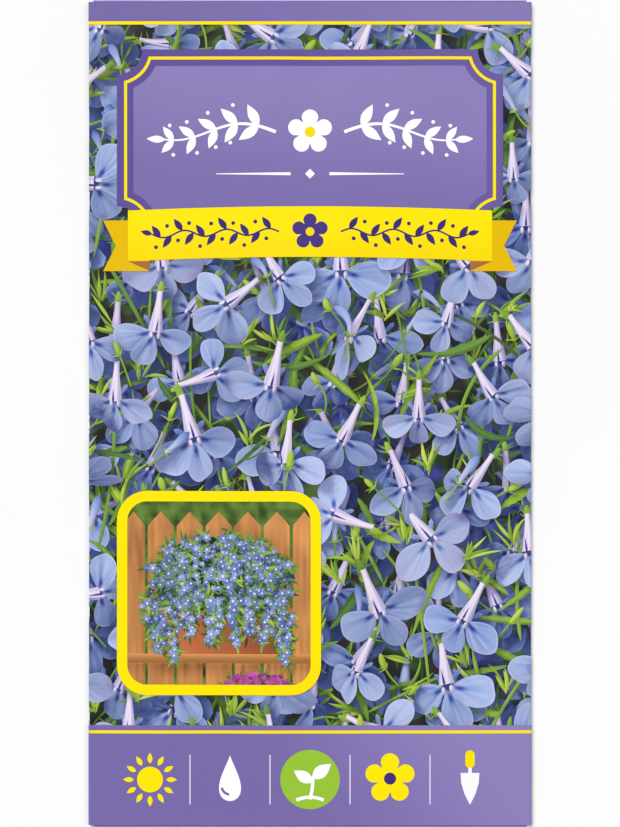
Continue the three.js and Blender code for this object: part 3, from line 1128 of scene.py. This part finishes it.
def header():
    """The band along the top edge, and the plaque with its sprigs."""
    drawing = Drawing()
    band = full_band(BAND_BOTTOM, HALF_HEIGHT)
    drawing.flat(band, "violet", lambda x, y: 0.45 + 0.3 * smooth(-40, 40, x), 0)
    drawing.stroke(across_packet(BAND_BOTTOM), 0.6, "yellow", 1, 2)
    plaque = [scooped(PLAQUE_CENTRE, PLAQUE_HALF, 4.6, inset) for inset in (0, 1.3, 1.85, 3.0)]
    drawing.flat(plaque[0], "violet", lambda x, y: 0.08 + 0.16 * smooth(-35, 35, x), 0)
    drawing.band(plaque[1], plaque[2], "yellow", 1, 2)
    drawing.flat(plaque[3], "violet", lambda x, y: 0.52 + 0.36 * smooth(36, 62, y + 0.12 * x), 1)
    centre = PLAQUE_CENTRE + (0, 1.5)
    rosette(drawing, centre, 4.1, "white", "yellow", 2)
    sprigs(drawing, centre, 2)
    below = centre - (0, 7.6)
    for side in (-1, 1):
        line = np.linspace(below + (side * 3.5, 0), below + (side * 17, 0), 12)
        drawing.stroke(line, np.linspace(0.55, 0.15, 12), "white", 1, 2)
    drawing.flat(circle(below, 0.9, 4), "white", 1, 2, WIDE_STEP)
    return drawing


def ribbon():
    """The arched ribbon with its folded tails and its vine."""
    drawing = Drawing()
    cy = RIBBON_CENTRE[1]
    w, h = RIBBON_HALF

    def arch(x):
        return 0.7 * (1 - (x / w) ** 2)

    for side in (-1, 1):
        tail = np.array([(-4, -h), (4.5, -h), (2.2, 0), (4.5, h), (-4, h)]) + (w, -1.8)
        drawing.flat(tail * (side, 1) + RIBBON_CENTRE, "yellow", 0.15, 0)
        fold = np.array([(w - 4, -h - 1.8), (w, -h), (w - 4, -h)])
        drawing.flat(fold * (side, 1) + RIBBON_CENTRE, "wood", 0.4, 1)
    x = np.linspace(w, -w, 33)
    body = np.vstack([np.column_stack([x, arch(x) + h]), np.column_stack([-x, arch(x) - h])]) + RIBBON_CENTRE
    drawing.flat(body, "yellow", lambda x, y: 0.75 + 0.25 * smooth(-5, 3, y - cy), 2)
    x = np.linspace(5.6, 28.6, 47)
    vine = np.column_stack([x, 0.6 * np.sin(math.tau * (x - x[0]) / 7.6)])
    outlines = [line_outline(vine, 0.3), leaf_outline(vine[-1], 0.3, 2.2, 0.95)]
    for k in range(3, 46, 4):
        above = 1 if k % 8 == 3 else -1
        outlines.append(leaf_outline(vine[k], 0.95 * above, 2.7, 1.15))
        outlines.append(circle(vine[k] + (0.8, -1.75 * above), 0.36, 12))
    for side in (-1, 1):
        bent = [outline * (side, 1) + RIBBON_CENTRE for outline in outlines]
        for outline in bent:
            outline[:, 1] += arch(outline[:, 0])
        drawing.merged(bent, "deep_violet", 0.6, 3, FINE_STEP)
    rosette(drawing, RIBBON_CENTRE + (0, 0.7), 3.3, "deep_violet", "yellow", 3)
    return drawing


def foot():
    """The panel along the bottom edge, with its row of icons."""
    drawing = Drawing()
    panel = full_band(-HALF_HEIGHT, FOOT_TOP)
    line_y = FOOT_TOP - 1.2
    drawing.flat(panel, "violet", lambda x, y: 0.45 + 0.45 * smooth(-10, 40, x + 0.8 * (y + 66)), 0)
    drawing.stroke(across_packet(line_y), 0.55, "yellow", 1, 1)
    y = (line_y - HALF_HEIGHT) / 2
    places = np.linspace(-29, 29, 5)
    icon_row(drawing, places, y, (sun_icon, drop_icon, sprout_icon, bloom_icon, trowel_icon))
    for x in (places[1:] + places[:-1]) / 2:
        drawing.stroke(np.linspace((x, y - 4.5), (x, y + 4.5), 8), 0.22, "lilac", 0.5, 1)
    return drawing


def icon_row(drawing, places, y, icons):
    for x, icon in zip(places, icons):
        icon(drawing, np.array((x, y)))


def sun_icon(drawing, centre):
    drawing.flat(circle(centre, 2.35, 28), "yellow", 1, 1)
    for k in range(12):
        angle = math.tau * k / 12
        drawing.flat(leaf_outline(polar(centre, 2.9, angle), angle, 2.0, 0.95, 5), "yellow", 1, 1, WIDE_STEP)


def drop_icon(drawing, centre):
    t = np.linspace(0, math.tau, 30, endpoint=False)
    outline = np.column_stack([2.9 * np.sin(t) * np.sin(t / 2) ** 1.6, 0.3 + 4.2 * np.cos(t)])
    drawing.flat(outline + centre, "white", 1, 1)
    drawing.stroke(arc(centre - (0, 1.2), 1.5, 190, 265, 9), 0.45, "violet", 0.4, 2)


def sprout_icon(drawing, centre):
    drawing.flat(circle(centre, 5.4), "green", 0.8, 1)
    t = np.linspace(0, 1, 10)
    outlines = [
        line_outline(np.column_stack([0.5 * np.sin(2 * t), 4.2 * t - 3.6]) + centre, 0.6),
        line_outline(arc(centre - (0, 9.3), 6.1, 66, 114, 12), 0.6),
        leaf_outline(centre + (0.4, 0.2), math.radians(38), 4.3, 2.3),
        leaf_outline(centre + (0.5, -0.5), math.radians(148), 4.0, 2.1),
    ]
    drawing.merged(outlines, "white", 1, 2)


def bloom_icon(drawing, centre):
    rosette(drawing, centre + (0, 0.2), 4.6, "yellow", "deep_violet", 1)


def trowel_icon(drawing, centre):
    scoop = [(-1.7, 1.2), (-1.6, -0.6), (-1.0, -2.6), (0, -4.6), (1.0, -2.6), (1.6, -0.6), (1.7, 1.2)]
    drawing.flat(scoop + centre, "white", 0.85, 1)
    drawing.stroke(np.linspace((0, 1.0), (0, 2.3), 4) + centre, 0.6, "white", 1, 1.5)
    drawing.flat(rounded(centre + (0, 3.7), (0.85, 1.6), 0.8, steps=5), "yellow", 0.9, 2)


# ---- the framed picture

PICTURE_INSIDE = PICTURE_HALF - PICTURE_BORDER / 2
BOARD_WIDTH, BOARD_GAP = 4.7, 0.55
SHELF_BOTTOM = PICTURE_CENTRE[1] - 12.7
SHELF_THICKNESS = 1.7
BOX_BOTTOM, BOX_TOP = SHELF_BOTTOM + SHELF_THICKNESS, PICTURE_CENTRE[1] - 3.5
MOUND_CENTRE, MOUND_HALF, MOUND_PLACES = PICTURE_CENTRE + (0, 3), (13.2, 7.4), 400  # flowers over the box
TRAILS, TRAIL_STEP = 13, 0.55  # stems that hang before the box, with flowers all along


def picture_ground():
    """A picket fence before a hedge."""
    drawing = Drawing()
    cx, cy = PICTURE_CENTRE
    grain, patches, hedge = Waves(31, 0.9, 2.5, 20), Waves(32, 6, 18), Waves(33, 1.2, 6, 24)
    ground = rounded(PICTURE_CENTRE, PICTURE_HALF, PICTURE_CORNER, PICTURE_BORDER / 2)
    drawing.flat(ground, "leaf", lambda x, y: 0.42 + 0.2 * hedge(x, y), 0)
    for k in range(-3, 4):
        own = 0.1 * math.sin(12.9 * k)
        left = cx + k * (BOARD_WIDTH + BOARD_GAP) - BOARD_WIDTH / 2
        right, top = min(left + BOARD_WIDTH, cx + PICTURE_INSIDE), cy + 12.2 + 0.25 * own
        left, bottom = max(left, cx - PICTURE_INSIDE), cy - PICTURE_INSIDE + (1.2 if abs(k) == 3 else 0)

        def board_tone(x, y):
            shadow = 0.35 * smooth(3.2, 0, SHELF_BOTTOM - y) * (y < SHELF_BOTTOM)
            shadow += 0.3 * smooth(19, 12, np.hypot(x - cx - 1.5, 1.5 * (y - cy - 1)))
            side = 0.12 * smooth(0.5, -0.5, (x - left) / BOARD_WIDTH - 0.5)
            return 0.66 + own + side + 0.08 * grain(x * 1.6, y * 0.12) + 0.06 * patches(x, y) - shadow

        board = [(left, bottom), (right, bottom), (right, top), ((left + right) / 2, top + 2.6), (left, top)]
        drawing.flat(board, "wood", board_tone, 1, FINE_STEP)
    return drawing


def picture_border():
    drawing = Drawing()
    insets = (0, PICTURE_BORDER)
    edges = [rounded(PICTURE_CENTRE, PICTURE_HALF, PICTURE_CORNER, inset, 12) for inset in insets]
    drawing.band(*edges, "yellow", 1, 0)
    return drawing


def balcony_box():
    """The clay box on its shelf, and the flowers in front of the fence."""
    drawing = Drawing()
    cx = PICTURE_CENTRE[0]
    x = np.linspace(-1, 1, 49)
    rows = np.linspace(0, 1, 11)[:, None]
    body = surface(cx + x * (11.8 + 0.9 * rows), BOX_BOTTOM + (BOX_TOP - BOX_BOTTOM) * rows, 1.0)
    drawing.grid(body, "clay", 0.5 - 0.3 * x - 0.2 * rows)
    rim = surface(cx + x * 13.4, BOX_TOP - 0.9 + 1.8 * rows, 2.0)
    drawing.grid(rim, "clay", 0.7 - 0.3 * x + 0.1 * rows)
    shelf = surface(cx + x * PICTURE_INSIDE, SHELF_BOTTOM + SHELF_THICKNESS * rows, 2.0)
    drawing.grid(shelf, "wood", 0.35 + 0.65 * rows**2)
    ground_flowers(drawing, PICTURE_CENTRE + (7, -16.6))
    return drawing


def ground_flowers(drawing, centre):
    """A low clump of magenta flowers before the fence."""
    rng = np.random.default_rng(43)
    t = np.linspace(0, math.pi, 20)
    drawing.flat(np.column_stack([6 * np.cos(t), 2.9 * np.sin(t) - 0.9]) + centre, "leaf", 0.15, 2.5)
    for k in range(190):
        u, v = rng.uniform(-1, 1), rng.random()
        radius = rng.uniform(0.32, 0.6)
        place = centre + (6 * u, 2.8 * v * math.sqrt(1 - u * u) - 0.6)
        if k % 3 == 0:
            shape = leaf_outline(place, rng.uniform(0.3, 2.8), 3 * radius, 0.7 * radius, 5)
            drawing.flat(shape, "leaf", rng.uniform(0.3, 0.9), 3, WIDE_STEP)
        else:
            turn = np.linspace(0, math.tau, 15, endpoint=False) + rng.uniform(0, 1)
            shape = polar(place, radius * five_lobed(turn, 0.6, 1), turn)
            drawing.flat(shape, "magenta", rng.uniform(0.2, 1), 4 + 0.04 * k, WIDE_STEP)


def small_bloom(drawing, rng, place, radius, hue, tone):
    """A tiny five-lobed flower with a white eye."""
    turn = np.linspace(0, math.tau, 21)
    start = rng.uniform(0, math.tau)
    reach = radius * np.vstack([np.outer((0, 0.24, 0.3), np.ones(21)), five_lobed(turn, 0.6, 0.7)])
    rise = radius * np.array([0.3, 0.26, 0.24, 0])[:, None]
    points = surface(reach * np.cos(turn + start), reach * np.sin(turn + start), rise)
    points = tilted(points, rng.normal(0, 0.35), rng.normal(0, 0.35)) + place
    drawing.grid(points, np.array([0.0, 0.05, hue + 0.06, hue])[:, None], tone)


def box_plants():
    """The flowers and leaves of the balcony box, as two drawings."""
    rng = np.random.default_rng(41)
    blooms, greens = Drawing(), Drawing()
    cx, cy = PICTURE_CENTRE
    ragged = Waves(42, 2.5, 7)
    places = []
    while len(places) < MOUND_PLACES:
        u, v = rng.uniform(-1, 1), rng.uniform(-1, 1)
        edge = 1 + 0.1 * ragged(8 * u, 8 * v)
        if u * u + v * v < edge:
            x, y = MOUND_CENTRE + np.multiply(MOUND_HALF, (u, v))
            places.append((x, y, 4.5 * math.sqrt(edge - u * u - v * v) + rng.uniform(-1.2, 0.3)))
    for k in range(TRAILS):
        x = cx + 12.6 * (k - 6) / 6 + rng.normal(0, 0.4)
        drop = rng.uniform(5, 12)
        lean = rng.normal(0, 1.2)
        stem = np.linspace((x, cy - 1, 3.2), (x + lean, cy - 1 - drop, 3.2), 12)
        blade(greens, stem, np.full(12, 0.13), 0.5, 0.9, 3)
        for step in np.arange(0, drop, TRAIL_STEP):
            across = x + lean * step / drop + rng.normal(0, 1.1 * (1 - 0.6 * step / drop))
            places.append((across, cy - 1.4 - step, rng.uniform(3.4, 5)))
    for place in np.array(places):
        for _ in range(3):
            heading = rng.uniform(0, math.tau)
            start = place + (rng.normal(0, 0.3), rng.normal(0, 0.3), rng.uniform(-1.4, 0.4))
            path = curve(start, heading, rng.normal(0, 0.6), rng.uniform(1.2, 2.4), 4, 0.5)
            blade(greens, path, 0.24 * np.array([0.5, 1, 0.8, 0.1]), rng.uniform(0.2, 0.75), 0.95, 3)
        radius, hue, tone = rng.uniform(0.55, 0.95), rng.normal(0.6, 0.06), rng.normal(0.96, 0.1)
        small_bloom(blooms, rng, place + (0, 0, rng.uniform(0, 0.6)), radius, hue, tone)
    t = np.linspace(0, math.tau, 70, endpoint=False)
    reach = 0.9 + 0.05 * ragged(8 * np.cos(t), 8 * np.sin(t))
    mass = polar((0, 0), reach, t) * MOUND_HALF + MOUND_CENTRE
    greens.flat(mass, 0.72, lambda x, y: 0.3 + 0.1 * ragged(1.5 * x, 1.5 * y), -0.5)
    return blooms, greens


# ---- back print

TITLE_CENTRE = np.array((0, HALF_HEIGHT - TOP_FLAP - 10))
PANEL_CENTRE, PANEL_HALF = (0, 12), (36, 26)
MONTHS = {"green": (1, 2, 3), "yellow": (5, 6, 7, 8, 9)}  # of sowing and of bloom, from 0
JANUARY, MONTH_STEP = (33, -22), 6  # the upper row's first month, and how far apart months and rows lie
ICONS_CENTRE = (0, -47)


def step_tile(drawing, centre, stage):
    """A plain picture of a step in growing: seed over a pot, then seedlings, then a plant in bloom."""
    drawing.flat(rounded(centre, 10.4, 1.6), "lilac", 0.3, 1)
    pot = np.array([(-3.1, -8.2), (3.1, -8.2), (4.1, -2.8), (-4.1, -2.8)])
    drawing.flat(pot + centre, "clay", 0.75, 2)
    drawing.flat(rounded(centre - (0, 2.2), (4.8, 0.95), 0.5, steps=4), "clay", 1, 3)
    if stage == 0:
        for k in range(7):
            seed = centre + (1.1 * (k - 3), 1 + 3.1 * (k * 0.62 % 1.7))
            drawing.flat(circle(seed, 0.5, 14), "deep_violet", 0.6, 2)
        return
    stems = 3 if stage == 1 else 7
    greens = []
    for k in range(stems):
        lean = (k - (stems - 1) / 2) / stems
        start = (*centre + (5 * lean, -2), 0)
        path = curve(start, math.pi / 2 - 1.5 * lean, -1.9 * lean, 3.4 + 2 * stage, 8, 0)[:, :2]
        greens.append(line_outline(path, 0.4))
        for side in (-1, 1):
            heading = math.pi / 2 - 2 * lean + 0.95 * side
            greens.append(leaf_outline(path[-2 * stage], heading, 4 - 1.2 * stage, 1.5 - 0.35 * stage))
        if stage == 2:
            rosette(drawing, path[-1], 1.55, "violet", "white", 5 + 0.5 * k)
    drawing.merged(greens, "green", 0.6, 2.5)


def calendar(drawing):
    """Two rows of twelve months, which run from left to right when seen from the back."""
    for month in range(12):
        for row, (ink, months) in enumerate(MONTHS.items()):
            centre = (JANUARY[0] - MONTH_STEP * month, JANUARY[1] - MONTH_STEP * row)
            cell = rounded(centre, 2.5, 0.8, steps=5)
            drawing.flat(cell, ink if month in months else "white", 1, 0)
            edges = [rounded(centre, half, half / 3, steps=5) for half in (2.5, 2.2)]
            drawing.band(*edges, "violet", 0.6, 1)


def back_print():
    """A title band with sprigs, a panel with three growing steps, a sowing calendar and the icons again."""
    drawing = Drawing()
    title = rounded(TITLE_CENTRE, (36, 7.5), 2)
    drawing.flat(title, "violet", lambda x, y: 0.4 + 0.3 * smooth(-36, 36, x), 0)
    rosette(drawing, TITLE_CENTRE, 3.4, "white", "yellow", 1)
    sprigs(drawing, TITLE_CENTRE, 1)
    drawing.flat(rounded(PANEL_CENTRE, PANEL_HALF, 2), "white", 1, 0, spacing=4)
    edges = [rounded(PANEL_CENTRE, PANEL_HALF, 2, inset) for inset in (0, 0.35)]
    drawing.band(*edges, "violet", 0.5, 1)
    for stage in range(3):
        step_tile(drawing, np.array((23.5 * (1 - stage), 25)), stage)
    calendar(drawing)
    drawing.flat(rounded(ICONS_CENTRE, (36, 9), 2), "violet", 0.6, 0)
    icons = (trowel_icon, sprout_icon, drop_icon, sun_icon, bloom_icon)
    icon_row(drawing, np.linspace(-27, 27, 5), ICONS_CENTRE[1], icons)
    return drawing


# ---- paper envelope

FRONT_INK_SLOT, BACK_INK_SLOT, BARE_SLOT = 0, 1, 2

# Points along each stretch of the sheet, and along and across the end flaps.
SEAM_POINTS, FRONT_POINTS, BACK_POINTS, FOLD_POINTS, LENGTH_POINTS = 12, 118, 60, 9, 201
FLAP_POINTS, FLAP_WIDTH_POINTS = 14, 61

# Where the stretches end in a cut edge. The edge is one point short of this.
SEAM_END = HALF_WIDTH - SIDE_FLAP - 0.4
BACK_END = HALF_WIDTH + 0.5
SHARP_ANGLE = 50  # degrees; edges that turn by more are sharp


def fold_arc(centre, low, high, turn):
    """The sheet's middle round a fold, from its lower side up: (along, z, normal along, normal z)."""
    angle = np.linspace(-math.pi / 2, math.pi / 2, FOLD_POINTS)
    radius, middle = (high - low) / 2, (high + low) / 2
    out = turn * np.cos(angle)
    return np.column_stack([centre + radius * out, middle + radius * np.sin(angle), out, np.sin(angle)])


def flat_run(start, stop, z, facing, count):
    """A flat stretch of the sheet's middle, without its two ends."""
    along = np.linspace(start, stop, count + 2)[1:-1]
    return np.column_stack([along, np.full(count, z), np.zeros(count), np.full(count, facing)])


def sheet_body(centre, normal, slots):
    """Points, faces and material slots of a closed sheet from its middle surface. slots gives the slot of
    each column of outer faces. The inner side and the cut edges are bare paper."""
    rows, columns = centre.shape[:2]
    count = rows * columns
    points = np.vstack([(centre + side * PAPER / 2 * normal).reshape(-1, 3) for side in (1, -1)])
    outer = grid_quads(rows, columns)
    inner = grid_quads(rows, columns, count)[:, ::-1]
    index = np.arange(count).reshape(rows, columns)
    loop = np.concatenate([index[0, :-1], index[:-1, -1], index[-1, :0:-1], index[:0:-1, 0]])
    after = np.roll(loop, -1)
    rim = np.stack([loop, loop + count, after + count, after], 1)
    outer_slots = np.broadcast_to(slots, (rows - 1, columns - 1)).ravel()
    bare_slots = np.full(len(inner) + len(rim), BARE_SLOT)
    return points, np.vstack([outer, inner, rim]), np.concatenate([outer_slots, bare_slots])


def tube_sheet():
    """The sheet round the packet, from the seam flap over the front to the back panel."""
    seam, back, front = (z + PAPER / 2 for z in (SEAM_Z, BACK_Z, FRONT_Z))
    parts = (
        (flat_run(SEAM_END, RIGHT_FOLD, seam, -1, SEAM_POINTS), BARE_SLOT),
        (fold_arc(RIGHT_FOLD, seam, front, 1), FRONT_INK_SLOT),
        (flat_run(RIGHT_FOLD, LEFT_FOLD, front, 1, FRONT_POINTS), FRONT_INK_SLOT),
        (fold_arc(LEFT_FOLD, back, front, -1)[::-1], BACK_INK_SLOT),
        (flat_run(LEFT_FOLD, BACK_END, back, -1, BACK_POINTS), BACK_INK_SLOT),
    )
    section = np.vstack([part for part, _ in parts])
    slots = np.concatenate([np.full(len(part), slot) for part, slot in parts])[:-1]
    y = np.linspace(-END_FOLD, END_FOLD, LENGTH_POINTS)[:, None]
    x, z, normal_x, normal_z = section.T
    is_front = (normal_z > 0.999) & (z > FRONT_Z)
    z = z + np.where(is_front, front_lift(*np.broadcast_arrays(x, y)), 0)
    return sheet_body(surface(x, y, z), surface(normal_x, 0 * y, normal_z), slots)


def end_flap(length, end):
    """The flap that is turned over on the back at one end, which is 1 or -1."""
    half = PAPER / 2
    turn = fold_arc(END_FOLD, half, FRONT_Z + half, 1)[::-1]
    flat = flat_run(END_FOLD, HALF_HEIGHT - length - 1, half, -1, FLAP_POINTS)
    y, z, normal_y, normal_z = np.vstack([turn, flat]).T[:, :, None]
    narrowing = np.clip((END_FOLD - y) / (END_FOLD - flat[-1, 0]), 0, 1)
    x = end * (HALF_WIDTH - FLAP_INSET - FLAP_TAPER * narrowing) * np.linspace(-1, 1, FLAP_WIDTH_POINTS)
    return sheet_body(surface(x, end * y, z), surface(0 * x, end * normal_y, normal_z), FRONT_INK_SLOT)


def paper_envelope():
    points, faces, slots = zip(tube_sheet(), end_flap(BOTTOM_FLAP, -1), end_flap(TOP_FLAP, 1))
    starts = np.cumsum([0] + [len(body) for body in points])
    faces = np.vstack([body + start for body, start in zip(faces, starts)])
    materials = (FRONT_PAPER, BACK_PAPER, BARE_PAPER)
    mesh = new_mesh("paper_sheet", np.vstack(points) * MM, faces.tolist(), materials)
    mesh.polygons.foreach_set("material_index", np.concatenate(slots).astype(np.int32))
    work = bmesh.new()
    work.from_mesh(mesh)
    bmesh.ops.recalc_face_normals(work, faces=work.faces)
    work.to_mesh(mesh)
    work.free()
    mesh.set_sharp_from_angle(angle=math.radians(SHARP_ANGLE))
    piece = packet_piece("paper_sheet", mesh)
    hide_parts("paper_envelope")


# ---- stage, light and camera

LENS, SENSOR = 100, 36  # millimetres; the sensor's width is the picture's long side
FLOOR_HALF, FLOOR_POINTS = 60000, 81
FLOOR_FLAT, FLOOR_SLOPED = 600, 6000  # from where it rises, and where its slope is full
FLOOR_SLOPE = 0.2
FLOOR_DROP = 0.03
LIGHTS = (("key", 128, 48, 2.34), ("fill", 12, 44, 0.68), ("front", -84, 40, 0.46))
LIGHT_WIDTH = 34  # degrees
SKY_STRENGTH = 0.22


def floor():
    """Flat under the packet and rising gently far off, so that it fills the picture from any side."""
    places = FLOOR_HALF * np.linspace(-1, 1, FLOOR_POINTS) ** 5
    x, y = np.meshgrid(places, places)
    reach = np.hypot(x, y)
    z = FLOOR_SLOPE * reach * smooth(FLOOR_FLAT, FLOOR_SLOPED, reach) - FLOOR_DROP
    points = surface(x, y, z).reshape(-1, 3) * MM
    faces = grid_quads(FLOOR_POINTS, FLOOR_POINTS).tolist()
    ground = linked("floor", new_mesh("floor", points, faces, [floor_material()]))


def lighting():
    """Wide, even lights from far away, given by the direction they come from and their height, in degrees."""
    for name, turn, height, strength in LIGHTS:
        light = bpy.data.lights.new(name, "SUN")
        light.angle = math.radians(LIGHT_WIDTH)
        light.energy = strength
        lamp = linked(name, light)
        lamp.rotation_euler = (math.radians(90 - height), 0, math.radians(turn + 90))
    world = bpy.data.worlds.new("studio")
    world.use_nodes = True
    background = world.node_tree.nodes["Background"]
    background.inputs[0].default_value = (1, 1, 1, 1)
    background.inputs[1].default_value = SKY_STRENGTH
    bpy.context.scene.world = world
    bpy.context.scene.view_settings.view_transform = "Standard"


def camera():
    """Looks straight down, with the packet's height over the whole height of the picture."""
    data = bpy.data.cameras.new("camera")
    data.lens, data.sensor_width = LENS, SENSOR
    eye = linked("camera", data)
    eye.location = (0, 0, (2 * HALF_HEIGHT * LENS / SENSOR + EDGE_Z) * MM)
    bpy.context.scene.camera = eye


# ---- the packet


def print_front():
    printed("print_backdrop", backdrop(), DEPTH_INK, clips=True)
    blooms, greens = flower_field()
    relief = Relief((*blooms.values(), greens))
    for layer, drawing in blooms.items():
        printed(f"print_{layer}_flowers", drawing, BLOOM_INK, relief, clips=True)
    printed("print_leaves", greens, LEAF_INK, relief, clips=True)
    for name, panel in (("print_header", header), ("print_ribbon", ribbon), ("print_foot", foot)):
        printed(name, panel(), PLAIN_INK, clips=True)


def print_picture():
    blooms, greens = box_plants()
    relief = Relief((blooms, greens))
    printed("print_picture_ground", picture_ground(), PLAIN_INK)
    printed("print_picture_box", balcony_box(), PLAIN_INK)
    printed("print_picture_flowers", blooms, BLOOM_INK, relief)
    printed("print_picture_leaves", greens, LEAF_INK, relief)
    printed("print_picture_border", picture_border(), PLAIN_INK)


film = film_material()
repaint("sachet_back_film", film)
repaint("sachet_front_film", film)
repaint("seed_pinch", seed_material())
camera()
lighting()
floor()
paper_envelope()
print_front()
print_picture()
printed("print_back", back_print(), PLAIN_INK, lay=on_back)
